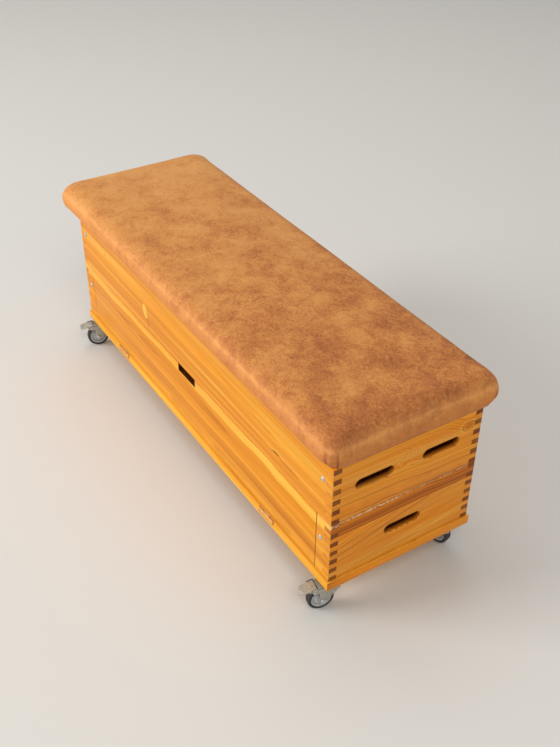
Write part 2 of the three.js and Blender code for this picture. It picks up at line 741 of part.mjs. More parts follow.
const vaultingBox = new THREE.Group();
vaultingBox.add(baseBoard());
vaultingBox.add(lowerFrame());
vaultingBox.add(dropFlap());
vaultingBox.add(hinge('left', -hingeMiddle));
vaultingBox.add(hinge('right', hingeMiddle));
vaultingBox.add(upperFrame());
vaultingBox.add(paddedTop());
for (const [corner, signs] of Object.entries(corners)) {
  vaultingBox.add(castor(corner, signs));
}

// The origin is on the floor, under the middle of the whole outline
const extent = new THREE.Box3().setFromObject(vaultingBox, true);
const middle = extent.getCenter(new THREE.Vector3());
vaultingBox.position.set(-middle.x, -middle.y, 0);

export default vaultingBox;
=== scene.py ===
import json
import math
import random

import bmesh
import bpy
from mathutils import Matrix, Vector, noise


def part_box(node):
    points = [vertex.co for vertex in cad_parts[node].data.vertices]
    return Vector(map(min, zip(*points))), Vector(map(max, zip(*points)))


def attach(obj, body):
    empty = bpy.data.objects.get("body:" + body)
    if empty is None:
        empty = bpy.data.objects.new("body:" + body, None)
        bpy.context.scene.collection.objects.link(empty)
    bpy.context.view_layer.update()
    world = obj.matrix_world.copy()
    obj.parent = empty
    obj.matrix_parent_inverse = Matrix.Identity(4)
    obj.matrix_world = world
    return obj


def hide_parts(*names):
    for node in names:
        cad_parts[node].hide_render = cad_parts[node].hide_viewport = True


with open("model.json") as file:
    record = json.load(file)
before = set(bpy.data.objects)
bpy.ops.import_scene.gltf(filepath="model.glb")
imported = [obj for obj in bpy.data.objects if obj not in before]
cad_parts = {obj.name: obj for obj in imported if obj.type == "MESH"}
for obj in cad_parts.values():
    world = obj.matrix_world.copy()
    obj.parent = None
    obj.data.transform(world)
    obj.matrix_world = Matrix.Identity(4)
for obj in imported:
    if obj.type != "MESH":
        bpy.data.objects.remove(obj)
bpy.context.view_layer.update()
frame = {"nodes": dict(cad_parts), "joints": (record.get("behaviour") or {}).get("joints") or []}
scene = bpy.context.scene
mm = 0.001
print("frame loaded:", len(frame["nodes"]), "nodes")

# the photograph's camera: heading is turned from +X, tilt is below the horizon
cameraView = {
    "lens": 46.8,
    "sensor": 36.0,
    "place": (2.1366, -1.2360, 2.0113),
    "heading": 147.557,
    "tilt": 36.288,
    "roll": 0.521,
}


def makeCamera():
    data = bpy.data.cameras.new("photoCamera")
    data.lens = cameraView["lens"]
    data.sensor_width = cameraView["sensor"]
    camera = bpy.data.objects.new("photoCamera", data)
    scene.collection.objects.link(camera)
    heading = math.radians(cameraView["heading"])
    tilt = math.radians(cameraView["tilt"])
    level = math.cos(tilt)
    ahead = Vector((level * math.cos(heading), level * math.sin(heading), -math.sin(tilt)))
    turned = ahead.to_track_quat("-Z", "Y").to_matrix().to_4x4()
    rolled = Matrix.Rotation(math.radians(cameraView["roll"]), 4, "Z")
    camera.matrix_world = Matrix.Translation(cameraView["place"]) @ turned @ rolled
    scene.camera = camera


makeCamera()
scene.view_settings.view_transform = "Standard"
print("camera placed")


# sRGB hex as Blender's linear colour
def toLinear(hexColour):
    channels = [int(hexColour[start:start + 2], 16) / 255 for start in (1, 3, 5)]
    return [c / 12.92 if c <= 0.04045 else ((c + 0.055) / 1.055) ** 2.4 for c in channels] + [1.0]


# adds a shader node of this kind: links maps each socket to a value or to another node's socket
def addNode(tree, kind, links=None, stops=None, **settings):
    node = tree.nodes.new("ShaderNode" + kind)
    for key, value in settings.items():
        setattr(node, key, value)
    if stops:
        elements = node.color_ramp.elements
        while len(elements) < len(stops):
            elements.new(1.0)
        for element, (position, colour) in zip(elements, stops):
            element.position = position
            element.color = toLinear(colour)
    for key, value in (links or {}).items():
        if isinstance(value, bpy.types.NodeSocket):
            tree.links.new(value, node.inputs[key])
        else:
            node.inputs[key].default_value = value
    return node


def newMaterial(name, **values):
    material = bpy.data.materials.new(name)
    material.use_nodes = True
    tree = material.node_tree
    shader = tree.nodes["Principled BSDF"]
    for key, value in values.items():
        shader.inputs[key.replace("_", " ")].default_value = value
    return material, tree, shader


# Object coordinates in millimetres
def placeInMm(tree):
    place = addNode(tree, "TexCoord").outputs["Object"]
    return addNode(tree, "VectorMath", {0: place, "Scale": 1000.0}, operation="SCALE").outputs[0]


# Clear-varnished pine, planed and sanded: pale early wood, darker late wood in rings round the
# tree's heart, brown end grain, and bare wood where the varnish has worn off the edges
pineLook = {
    "earlyWood": ["#BE6814", "#EF991F", "#FFC850"],
    "lateWood": ["#702F06", "#AC540E", "#D8861C"],
    "redderEarly": ["#C66918", "#FA9A25", "#FFCA5D"],
    "redderLate": ["#76300A", "#B45511", "#E28722"],
    "endEarly": "#8F4616",
    "endLate": "#5F290A",
    "endScatter": 0.35,
    "varnish": "#FFBE78",
    "worn": "#F2C496",
    # painted shade colours: dark browns for the shadow in the seam and deep in the hand holes and the notch
    "grime": "#2C1204",
    "stained": "#8E3F0E",
    "wander": 46.0,
    "wanderLength": 900.0,
    "curlLength": 60.0,
    "bandLength": 700.0,
    "bandWidth": 17.0,
    "bandStrength": 0.34,
    "fibreLength": 45.0,
    "fibreWidth": 0.7,
    "teethLength": 38.0,
    "teethWidth": 2.2,
    "teethDepth": 9.0,
    "borderWander": 10.0,
    "borderLength": 260.0,
    "borderHeight": 100.0,
    "wanderAcross": 400.0,
    "yearRate": 0.045,
    "yearSwing": 6.0,
    "ringTones": [(0.0, "#000000"), (0.4, "#1C1C1C"), (0.78, "#B4B4B4"), (0.9, "#FFFFFF"), (1.0, "#000000")],
    "fibreTone": 0.22,
    "toneRange": (-0.89, 1.11),
    "knotDepth": 20.0,
    "knotEdge": 0.75,
    "knotBands": [{"middle": 1.62, "half": 0.3, "strength": 1.6, "colour": "#F6B448"},
                  {"middle": 1.25, "half": 0.25, "strength": 1.0, "colour": "#84400E"}],
    "seepScale": 0.1,
    "rubScale": 0.12,
    "paintedShadeCurve": 1.7,
}


# paler and darker zones along the front boards; their borders wander and have teeth along the grain
def zonedShade(tree, grain, shade, bands):
    look = pineLook
    slowly = (1 / look["borderLength"], 0, 1 / look["borderHeight"])
    wander = addNode(tree, "VectorMath", {0: grain, 1: slowly}, operation="MULTIPLY").outputs[0]
    wander = addNode(tree, "TexNoise", {"Vector": wander, "Scale": 1.0, "Detail": 2.0}).outputs[0]
    saw = (1 / look["teethLength"], 0, 1 / look["teethWidth"])
    teeth = addNode(tree, "VectorMath", {0: grain, 1: saw}, operation="MULTIPLY").outputs[0]
    teeth = addNode(tree, "TexNoise", {"Vector": teeth, "Scale": 1.0, "Detail": 2.0}).outputs[0]
    place = addNode(tree, "SeparateXYZ", {0: grain})
    height = addNode(tree, "Math", {0: wander, 1: look["borderWander"], 2: place.outputs[2]},
                     operation="MULTIPLY_ADD").outputs[0]
    height = addNode(tree, "Math", {0: teeth, 1: look["teethDepth"], 2: height},
                     operation="MULTIPLY_ADD").outputs[0]
    middle = (look["borderWander"] + look["teethDepth"]) / 2
    inFront = addNode(tree, "Math", {0: place.outputs[1], 1: 0.0}, operation="LESS_THAN").outputs[0]
    for zone in bands:
        rise = addNode(tree, "Math", {0: place.outputs[0], 1: -zone["slope"], 2: height},
                       operation="MULTIPLY_ADD").outputs[0]
        if zone.get("ragged"):
            swing = addNode(tree, "Math", {0: wander, 1: 0.5}, operation="SUBTRACT").outputs[0]
            rise = addNode(tree, "Math", {0: swing, 1: zone["ragged"], 2: rise},
                           operation="MULTIPLY_ADD").outputs[0]
        low, high = (zone[side] + middle for side in ("low", "high"))
        soft, shift = zone["soft"], zone["shift"]
        over = addNode(tree, "MapRange", {0: rise, 1: low - soft, 2: low + soft, 3: 0.0, 4: 1.0},
                       interpolation_type="SMOOTHSTEP").outputs[0]
        under = addNode(tree, "MapRange", {0: rise, 1: high - soft, 2: high + soft, 3: shift, 4: 0.0},
                        interpolation_type="SMOOTHSTEP").outputs[0]
        inside = addNode(tree, "Math", {0: over, 1: under}, operation="MULTIPLY").outputs[0]
        shade = addNode(tree, "Math", {0: inside, 1: inFront, 2: shade},
                        operation="MULTIPLY_ADD").outputs[0]
    return shade


def varnishedPine(name, turn, lineStrength, ringSpacing, knots=(), bands=(),
                  shades=("earlyWood", "lateWood")):
    look = pineLook
    earlyShades, lateShades = (look[key] for key in shades)
    material, tree, shader = newMaterial(name, Roughness=0.42, Specular_IOR_Level=0.25,
                                         Specular_Tint=toLinear(look["varnish"]))
    grain = addNode(tree, "Mapping", {"Vector": placeInMm(tree), "Rotation": turn}).outputs[0]
    heart = addNode(tree, "Attribute", attribute_name="heart").outputs["Vector"]
    heartParts = addNode(tree, "SeparateXYZ", {0: heart})
    stave = addNode(tree, "Attribute", attribute_name="stave").outputs["Vector"]
    staveParts = addNode(tree, "SeparateXYZ", {0: stave})
    seed, tone, slant = staveParts.outputs
    ends = addNode(tree, "Attribute", attribute_name="ends").outputs["Vector"]
    endParts = addNode(tree, "SeparateXYZ", {0: ends})
    cutEnd, endTone, wearAndShade = endParts.outputs

    # the heart wanders along the stave, so that the rings run out on its face
    stretch = (1 / look["wanderLength"], 1 / look["wanderAcross"], 1 / look["wanderAcross"])
    slow = addNode(tree, "VectorMath", {0: grain, 1: stretch}, operation="MULTIPLY").outputs[0]
    drift = addNode(tree, "TexNoise", {"Vector": slow, "W": seed, "Scale": 1.0, "Detail": 3.0},
                    noise_dimensions="4D").outputs["Color"]
    drift = addNode(tree, "VectorMath", {0: drift, 1: (0.5, 0.5, 0.5)}, operation="SUBTRACT").outputs[0]
    drift = addNode(tree, "VectorMath", {0: drift, "Scale": look["wander"]}, operation="SCALE").outputs[0]
    local = addNode(tree, "VectorMath", {0: grain, 1: heart}, operation="SUBTRACT").outputs[0]
    local = addNode(tree, "VectorMath", {0: local, 1: drift}, operation="ADD").outputs[0]
    parts = addNode(tree, "SeparateXYZ", {0: local})
    lean = addNode(tree, "Math", {0: parts.outputs[0], 1: slant, 2: parts.outputs[2]},
                   operation="MULTIPLY_ADD").outputs[0]
    section = addNode(tree, "CombineXYZ", {1: parts.outputs[1], 2: lean}).outputs[0]
    radius = addNode(tree, "VectorMath", {0: section}, operation="LENGTH").outputs["Value"]

    # the grain curls here and there, as it does near a branch
    curl = addNode(tree, "VectorMath", {0: grain, "Scale": 1 / look["curlLength"]},
                   operation="SCALE").outputs[0]
    curl = addNode(tree, "TexNoise", {"Vector": curl, "Scale": 1.0, "Detail": 2.0}).outputs[0]
    curl = addNode(tree, "Math", {0: curl, 1: 0.5}, operation="SUBTRACT").outputs[0]
    radius = addNode(tree, "Math", {0: curl, 1: heartParts.outputs[0], 2: radius},
                     operation="MULTIPLY_ADD").outputs[0]

    # knots push the rings aside
    knotWood = []
    for knot in knots:
        squeeze = (1 / knot["stretch"], 1 / look["knotDepth"], 1.0)
        there = Vector(knot["place"])
        centre = [share * size for share, size in zip(squeeze, there)]
        near = addNode(tree, "VectorMath", {0: grain, 1: squeeze}, operation="MULTIPLY").outputs[0]
        gap = addNode(tree, "VectorMath", {0: near, 1: centre}, operation="DISTANCE").outputs["Value"]
        size = knot["radius"]
        span = size * knot["reach"]
        push = addNode(tree, "MapRange", {0: gap, 1: 0.0, 2: span, 3: knot["push"], 4: 0.0},
                       interpolation_type="SMOOTHSTEP").outputs[0]
        if knot["curl"]:
            swirl = addNode(tree, "VectorMath", {0: grain, "Scale": 1 / knot["curl"]}, operation="SCALE")
            swirl = addNode(tree, "TexNoise", {"Vector": swirl.outputs[0], "Scale": 1.0, "Detail": 1.0})
            swirl = addNode(tree, "Math", {0: swirl.outputs[0], 1: 0.5}, operation="SUBTRACT").outputs[0]
            push = addNode(tree, "Math", {0: push, 1: swirl}, operation="MULTIPLY").outputs[0]
        radius = addNode(tree, "Math", {0: radius, 1: push}, operation="ADD").outputs[0]
        if not knot["strength"]:
            continue
        for band in look["knotBands"]:
            away = addNode(tree, "Math", {0: gap, 1: size * band["middle"]}, operation="SUBTRACT").outputs[0]
            away = addNode(tree, "Math", {0: away}, operation="ABSOLUTE").outputs[0]
            halo = addNode(tree, "MapRange", {0: away, 1: 0.0, 2: size * band["half"],
                                              3: knot["rim"] * band["strength"], 4: 0.0},
                           interpolation_type="SMOOTHSTEP").outputs[0]
            knotWood.append((halo, band["colour"]))
        inside = addNode(tree, "MapRange", {0: gap, 1: size * look["knotEdge"], 2: size, 3: knot["strength"],
                                            4: 0.0}, interpolation_type="SMOOTHSTEP").outputs[0]
        knotWood.append((inside, knot["colour"]))

    # uneven years: the rings crowd and spread
    years = addNode(tree, "Math", {0: radius, 1: look["yearRate"]}, operation="MULTIPLY").outputs[0]
    years = addNode(tree, "Math", {0: years, 1: seed}, operation="ADD").outputs[0]
    uneven = addNode(tree, "TexNoise", {"W": years, "Scale": 1.0, "Detail": 1.0},
                     noise_dimensions="1D").outputs[0]
    ring = addNode(tree, "Math", {0: radius, 1: 1 / ringSpacing}, operation="MULTIPLY").outputs[0]
    ring = addNode(tree, "Math", {0: uneven, 1: look["yearSwing"], 2: ring},
                   operation="MULTIPLY_ADD").outputs[0]
    ring = addNode(tree, "Math", {0: ring}, operation="FRACT").outputs[0]
    late = addNode(tree, "ValToRGB", {0: ring}, stops=look["ringTones"]).outputs[0]

    # broad bands of colour and fine fibres, both long along the grain
    bandScale = (1 / look["bandLength"], 1 / look["bandWidth"], 1 / look["bandWidth"])
    bandPlace = addNode(tree, "VectorMath", {0: grain, 1: bandScale}, operation="MULTIPLY").outputs[0]
    band = addNode(tree, "TexNoise", {"Vector": bandPlace, "W": seed, "Scale": 1.0, "Detail": 3.0},
                   noise_dimensions="4D").outputs[0]
    band = addNode(tree, "MapRange", {0: band, 1: 0.3, 2: 0.7, 3: -look["bandStrength"],
                                      4: look["bandStrength"]}).outputs[0]
    fibreScale = (1 / look["fibreLength"], 1 / look["fibreWidth"], 1 / look["fibreWidth"])
    fibrePlace = addNode(tree, "VectorMath", {0: grain, 1: fibreScale}, operation="MULTIPLY").outputs[0]
    fibre = addNode(tree, "TexNoise", {"Vector": fibrePlace, "Scale": 1.0, "Detail": 2.0}).outputs[0]
    shade = addNode(tree, "Math", {0: tone, 1: band}, operation="ADD").outputs[0]
    shade = addNode(tree, "Math", {0: fibre, 1: look["fibreTone"], 2: shade},
                    operation="MULTIPLY_ADD").outputs[0]
    if bands:
        shade = zonedShade(tree, grain, shade, bands)
    darkest, palest = look["toneRange"]
    shade = addNode(tree, "MapRange", {0: shade, 1: darkest, 2: palest, 3: 0.0, 4: 1.0}).outputs[0]
    tones = (0.0, 0.5, 1.0)
    early = addNode(tree, "ValToRGB", {0: shade}, stops=list(zip(tones, earlyShades))).outputs[0]
    dark = addNode(tree, "ValToRGB", {0: shade}, stops=list(zip(tones, lateShades))).outputs[0]
    lines = addNode(tree, "Math", {0: late, 1: lineStrength}, operation="MULTIPLY").outputs[0]
    wood = addNode(tree, "Mix", {0: lines, 6: early, 7: dark}, data_type="RGBA").outputs[2]
    for mask, colour in knotWood:
        wood = addNode(tree, "Mix", {0: mask, 6: wood, 7: toLinear(colour)}, data_type="RGBA").outputs[2]

    # end grain soaks up the varnish and turns brown
    endWood = addNode(tree, "Mix", {0: late, 6: toLinear(look["endEarly"]), 7: toLinear(look["endLate"])},
                      data_type="RGBA").outputs[2]
    seep = addNode(tree, "TexNoise", {"Vector": placeInMm(tree), "Scale": look["seepScale"],
                                      "Detail": 4.0}).outputs[0]
    seep = addNode(tree, "MapRange", {0: seep, 1: 0.35, 2: 0.65, 3: 0.0, 4: look["endScatter"]}).outputs[0]
    endWood = addNode(tree, "Mix", {0: seep, 6: endWood, 7: toLinear(look["endLate"])},
                      data_type="RGBA").outputs[2]
    endWood = addNode(tree, "Mix", {0: endTone, 6: endWood, 7: wood}, data_type="RGBA").outputs[2]
    wood = addNode(tree, "Mix", {0: cutEnd, 6: wood, 7: endWood}, data_type="RGBA").outputs[2]

    # wear above 0 is bare wood; below 0 it is painted shade, which darkens the shadow in the seam between the
    # sections and the shade deep in the hand holes and the flap's notch
    rubbed = addNode(tree, "TexNoise", {"Vector": placeInMm(tree), "Scale": look["rubScale"],
                                        "Detail": 5.0}).outputs[0]
    rubbed = addNode(tree, "MapRange", {0: rubbed, 1: 0.42, 2: 0.6, 3: 0.25, 4: 1.0}).outputs[0]
    bare = addNode(tree, "Math", {0: wearAndShade, 1: rubbed}, operation="MULTIPLY", use_clamp=True).outputs[0]
    wood = addNode(tree, "Mix", {0: bare, 6: wood, 7: toLinear(look["worn"])}, data_type="RGBA").outputs[2]
    shadeMask = addNode(tree, "Math", {0: wearAndShade, 1: -1.0}, operation="MULTIPLY", use_clamp=True).outputs[0]
    wood = addNode(tree, "Mix", {0: shadeMask, 6: wood, 7: toLinear(look["stained"])},
                   data_type="RGBA").outputs[2]
    shadeMask = addNode(tree, "Math", {0: shadeMask, 1: look["paintedShadeCurve"]}, operation="POWER").outputs[0]
    wood = addNode(tree, "Mix", {0: shadeMask, 6: wood, 7: toLinear(look["grime"])}, data_type="RGBA").outputs[2]
    tree.links.new(wood, shader.inputs["Base Color"])

    relief = addNode(tree, "Math", {0: fibre, 1: 0.5, 2: late}, operation="MULTIPLY_ADD").outputs[0]
    bump = addNode(tree, "Bump", {"Height": relief, "Strength": 0.25, "Distance": 0.12 * mm}).outputs[0]
    tree.links.new(bump, shader.inputs["Normal"])
    return material


# Hide suede with a waxed, brushed nap: cloudy tan and brown, darker specks where the wax sank in,
# paler along the shoulders where hands and feet rub it, together with a painted highlight there;
# painted light also makes the far end paler and the sides warmer, and painted shade darkens the corner folds
suedeLook = {
    "shades": [(0.0, "#8E4E2B"), (0.3, "#B97039"), (0.55, "#D08B48"), (1.0, "#E0A25C")],
    "paleEdge": "#F8AA62",
    "paintedSideLight": "#E68C3E",
    "paintedFarLight": 0.28,
    "shoulder": [(0.0, "#8C8C8C"), (0.16, "#A4A4A4"), (0.4, "#F6F6F6"), (0.66, "#8C8C8C"), (0.88, "#000000")],
    "sideFade": {"upto": 0.42, "strength": 0.4},
    "patch": 120.0,
    "mottle": 40.0,
    "fleck": 7.0,
    "nap": 1.3,
    "weights": (0.64, 0.77, 0.72),
    "spread": 0.36,
    "fold": "#6A3418",
    "speck": {"size": 5.0, "low": 0.54, "high": 0.65, "strength": 0.56, "colour": "#7C4223"},
}


def waxedSuede(name):
    look = suedeLook
    material, tree, shader = newMaterial(name, Roughness=0.8, Specular_IOR_Level=0.2, Sheen_Weight=0.06,
                                         Sheen_Roughness=0.5)
    place = placeInMm(tree)
    patch = addNode(tree, "TexNoise", {"Vector": place, "Scale": 1 / look["patch"], "Detail": 3.0,
                                       "Roughness": 0.55, "Distortion": 0.15}).outputs[0]
    mottle = addNode(tree, "TexNoise", {"Vector": place, "Scale": 1 / look["mottle"], "Detail": 8.0,
                                        "Roughness": 0.74, "Distortion": 0.8}).outputs[0]
    fleck = addNode(tree, "TexNoise", {"Vector": place, "Scale": 1 / look["fleck"], "Detail": 5.0,
                                       "Roughness": 0.8}).outputs[0]
    blend = 0.0
    for layer, weight in zip((patch, mottle, fleck), look["weights"]):
        blend = addNode(tree, "Math", {0: layer, 1: weight, 2: blend}, operation="MULTIPLY_ADD").outputs[0]
    middle = sum(look["weights"]) / 2
    # painted light: the hide gets paler towards the far end (-X) and darker towards the near end
    along = addNode(tree, "SeparateXYZ", {0: place}).outputs[0]
    lift = addNode(tree, "MapRange", {0: along, 1: 800.0, 2: -800.0, 3: -0.5 * look["paintedFarLight"],
                                      4: 0.5 * look["paintedFarLight"]}).outputs[0]
    blend = addNode(tree, "Math", {0: blend, 1: lift}, operation="ADD").outputs[0]
    blend = addNode(tree, "MapRange", {0: blend, 1: middle - look["spread"], 2: middle + look["spread"],
                                       3: 0.0, 4: 1.0}).outputs[0]
    hide = addNode(tree, "ValToRGB", {0: blend}, stops=look["shades"]).outputs[0]
    speck = look["speck"]
    grit = addNode(tree, "TexNoise", {"Vector": place, "Scale": 1 / speck["size"], "Detail": 3.0,
                                      "Roughness": 0.7, "Distortion": 0.4}).outputs[0]
    grit = addNode(tree, "MapRange", {0: grit, 1: speck["low"], 2: speck["high"], 3: 0.0,
                                      4: speck["strength"]}).outputs[0]
    crowd = addNode(tree, "MapRange", {0: blend, 1: 0.25, 2: 0.75, 3: 1.0, 4: 0.25}).outputs[0]
    grit = addNode(tree, "Math", {0: grit, 1: crowd}, operation="MULTIPLY").outputs[0]
    hide = addNode(tree, "Mix", {0: grit, 6: hide, 7: toLinear(speck["colour"])}, data_type="RGBA").outputs[2]
    # paler band where the hide turns from top to side: rub wear mottled by the nap, and a painted highlight;
    # the ramp also lightens the sides, which is painted light
    normal = addNode(tree, "TexCoord").outputs["Normal"]
    upward = addNode(tree, "SeparateXYZ", {0: normal}).outputs[2]
    shoulder = addNode(tree, "ValToRGB", {0: upward}, stops=look["shoulder"]).outputs[0]
    rubbed = addNode(tree, "MapRange", {0: mottle, 1: 0.36, 2: 0.64, 3: 0.45, 4: 0.9}).outputs[0]
    shoulder = addNode(tree, "Math", {0: shoulder, 1: rubbed}, operation="MULTIPLY").outputs[0]
    hide = addNode(tree, "Mix", {0: shoulder, 6: hide, 7: toLinear(look["paleEdge"])},
                   data_type="RGBA").outputs[2]
    # painted light: a warmer, paler orange where the hide faces sideways
    fade = look["sideFade"]
    sides = addNode(tree, "MapRange", {0: upward, 1: 0.0, 2: fade["upto"], 3: fade["strength"], 4: 0.0},
                    interpolation_type="SMOOTHSTEP").outputs[0]
    hide = addNode(tree, "Mix", {0: sides, 6: hide, 7: toLinear(look["paintedSideLight"])},
                   data_type="RGBA").outputs[2]
    # painted shade along the grooves of the corner folds
    fold = addNode(tree, "Attribute", attribute_name="fold").outputs["Fac"]
    hide = addNode(tree, "Mix", {0: fold, 6: hide, 7: toLinear(look["fold"])}, data_type="RGBA").outputs[2]
    tree.links.new(hide, shader.inputs["Base Color"])
    nap = addNode(tree, "TexNoise", {"Vector": place, "Scale": 1 / look["nap"], "Detail": 2.0}).outputs[0]
    relief = addNode(tree, "Math", {0: mottle, 1: 2.0, 2: nap}, operation="MULTIPLY_ADD").outputs[0]
    bump = addNode(tree, "Bump", {"Height": relief, "Strength": 0.35, "Distance": 0.4 * mm}).outputs[0]
    tree.links.new(bump, shader.inputs["Normal"])
    return material


# Plating on pressed steel, of zinc, nickel or brass: slightly cloudy metal with handling marks
def platedSteel(name, colour, roughness, metallic=0.8):
    material, tree, shader = newMaterial(name, Metallic=metallic)
    place = placeInMm(tree)
    cloud = addNode(tree, "TexNoise", {"Vector": place, "Scale": 1 / 9, "Detail": 4.0}).outputs[0]
    grey = addNode(tree, "ValToRGB", {0: cloud},
                   stops=[(0.3, colour[0]), (0.7, colour[1])]).outputs[0]
    tree.links.new(grey, shader.inputs["Base Color"])
    dullest = roughness + 0.14
    rough = addNode(tree, "MapRange", {0: cloud, 1: 0.3, 2: 0.7, 3: roughness, 4: dullest}).outputs[0]
    tree.links.new(rough, shader.inputs["Roughness"])
    grain = addNode(tree, "TexNoise", {"Vector": place, "Scale": 1 / 0.8, "Detail": 2.0}).outputs[0]
    bump = addNode(tree, "Bump", {"Height": grain, "Strength": 0.12, "Distance": 0.1 * mm}).outputs[0]
    tree.links.new(bump, shader.inputs["Normal"])
    return material


# Moulded polyamide, moulded rubber and dried glue: one even colour, a satin skin and a little dust
def moulded(name, colours, roughness, grit):
    material, tree, shader = newMaterial(name)
    place = placeInMm(tree)
    dust = addNode(tree, "TexNoise", {"Vector": place, "Scale": 1 / 14, "Detail": 5.0}).outputs[0]
    tint = addNode(tree, "ValToRGB", {0: dust}, stops=[(0.35, colours[0]), (0.75, colours[1])]).outputs[0]
    tree.links.new(tint, shader.inputs["Base Color"])
    rough = addNode(tree, "MapRange", {0: dust, 1: 0.3, 2: 0.7, 3: roughness, 4: roughness + 0.15}).outputs[0]
    tree.links.new(rough, shader.inputs["Roughness"])
    skin = addNode(tree, "TexNoise", {"Vector": place, "Scale": 1 / grit, "Detail": 2.0}).outputs[0]
    bump = addNode(tree, "Bump", {"Height": skin, "Strength": 0.2, "Distance": 0.08 * mm}).outputs[0]
    tree.links.new(bump, shader.inputs["Normal"])
    return material


# Raw birch plywood: pale face veneer with long fine grain
def rawPlywood(name):
    material, tree, shader = newMaterial(name, Roughness=0.7)
    place = placeInMm(tree)
    veneerScale = (1 / 160, 1 / 6, 1 / 1.5)
    long = addNode(tree, "VectorMath", {0: place, 1: veneerScale}, operation="MULTIPLY").outputs[0]
    veneer = addNode(tree, "TexNoise", {"Vector": long, "Scale": 1.0, "Detail": 5.0}).outputs[0]
    wood = addNode(tree, "ValToRGB", {0: veneer},
                   stops=[(0.3, "#B98A55"), (0.55, "#D2A974"), (0.75, "#E0BD8C")]).outputs[0]
    tree.links.new(wood, shader.inputs["Base Color"])
    bump = addNode(tree, "Bump", {"Height": veneer, "Strength": 0.15, "Distance": 0.2 * mm}).outputs[0]
    tree.links.new(bump, shader.inputs["Normal"])
    return material


quarterTurn = math.pi / 2
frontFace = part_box("upper_front_board")[0].y / mm
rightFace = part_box("upper_right_end")[1].x / mm

# knots by their place along the grain, depth and height, in the turned coordinates of each material
longKnots = [
    {"place": (543, frontFace, 374), "radius": 2.8, "stretch": 6.5, "strength": 0.95, "rim": 0.25,
     "reach": 5.0, "push": 6.0, "curl": 0, "colour": "#4E2209"},
    {"place": (604, frontFace, 368), "radius": 6.5, "stretch": 8.0, "strength": 0.42, "rim": 0.0,
     "reach": 2.0, "push": 3.0, "curl": 0, "colour": "#B65A1C"},
]
endKnots = [
    {"place": (184, -rightFace, 461), "radius": 11.0, "stretch": 1.5, "strength": 0.85, "rim": 0.5,
     "reach": 6.5, "push": 28.0, "curl": 0, "colour": "#CF7218"},
    {"place": (6, -rightFace, 442), "radius": 30.0, "stretch": 1.7, "strength": 0.0, "rim": 0.0, "reach": 1.7,
     "push": 60.0, "curl": 19.0, "colour": "#B5651E"},
]

# zones of the front boards by height in millimetres: pale sapwood under the seam, then broad bands
frontZones = [
    {"low": 293, "high": 319, "slope": -0.003, "soft": 2.2, "shift": 0.66, "ragged": 34},
    {"low": 258, "high": 290, "slope": -0.004, "soft": 7.0, "shift": -0.2},
    {"low": 214, "high": 226, "slope": -0.006, "soft": 4.0, "shift": 0.36},
    {"low": 176, "high": 206, "slope": -0.006, "soft": 6.0, "shift": -0.24},
    {"low": 140, "high": 160, "slope": 0.0, "soft": 6.0, "shift": 0.22},
    {"low": 386, "high": 393, "slope": -0.019, "soft": 2.0, "shift": 0.34},
    {"low": 345, "high": 383, "slope": -0.019, "soft": 5.0, "shift": -0.18},
    {"low": 432, "high": 462, "slope": -0.008, "soft": 7.0, "shift": 0.22},
    {"low": 398, "high": 418, "slope": -0.016, "soft": 6.0, "shift": -0.14},
]

materials = {
    "pineAlong": varnishedPine("varnishedPineAlong", (0, 0, 0), 0.36, 5.0, longKnots, frontZones),
    "pineAcross": varnishedPine("varnishedPineAcross", (0, 0, -quarterTurn), 1.0, 4.6, endKnots,
                                shades=("redderEarly", "redderLate")),
    "pineUpright": varnishedPine("varnishedPineUpright", (0, quarterTurn, 0), 0.5, 4.2),
    "resin": moulded("driedResin", ("#5A2A0C", "#74390F"), 0.4, 0.8),
    "suede": waxedSuede("waxedSuede"),
    "zinc": platedSteel("brightZinc", ("#A8A69C", "#C8C5BA"), 0.46, 0.5),
    "boltHead": platedSteel("nickelPlatedSteel", ("#B9BCBC", "#DADCDB"), 0.22),
    "brass": platedSteel("brassPlatedSteel", ("#D09A4C", "#E8B878"), 0.45, 0.35),
    "wheelCore": moulded("greyPolyamide", ("#B2B4B6", "#C8C9C9"), 0.42, 0.9),
    "tyre": moulded("greyRubber", ("#2B2A29", "#45423F"), 0.62, 1.1),
    # black for the strip inside the pedal guard, which paints the shadow in the gap round the pedal
    "brakeLiner": moulded("blackGapShadow", ("#141414", "#262524"), 0.45, 0.9),
    "plywood": rawPlywood("birchPlywood"),
}
print("materials made:", len(materials))


# cuts every face of the geometry along a plane and returns the new edges
def cutAlong(mesh, place, normal, geometry=None):
    geometry = geometry or mesh.verts[:] + mesh.edges[:] + mesh.faces[:]
    cut = bmesh.ops.bisect_plane(mesh, geom=geometry, dist=0.001 * mm, plane_co=place, plane_no=normal)
    return [part for part in cut["geom_cut"] if isinstance(part, bmesh.types.BMEdge)]


def vertsOf(geometry):
    return [part for part in geometry if isinstance(part, bmesh.types.BMVert)]


def unitAlong(axis):
    return Vector(1.0 if index == axis else 0.0 for index in range(3))


# a CAD mesh is loose triangles: its copy is merged and its flat faces are joined, apart from cuts
# across the named axis, which part a face squarely at the middle of each hole
def meshFromNode(nodeName, axis=0, cuts=()):
    mesh = bmesh.new()
    mesh.from_mesh(frame["nodes"][nodeName].data)
    bmesh.ops.remove_doubles(mesh, verts=mesh.verts, dist=0.01 * mm)
    normal = unitAlong(axis)
    for place in cuts:
        for edge in cutAlong(mesh, normal * place * mm, normal):
            edge.seam = True
    bmesh.ops.dissolve_limit(mesh, angle_limit=math.radians(1), verts=mesh.verts, edges=mesh.edges,
                             delimit={"SEAM"})
    mesh.normal_update()
    return mesh


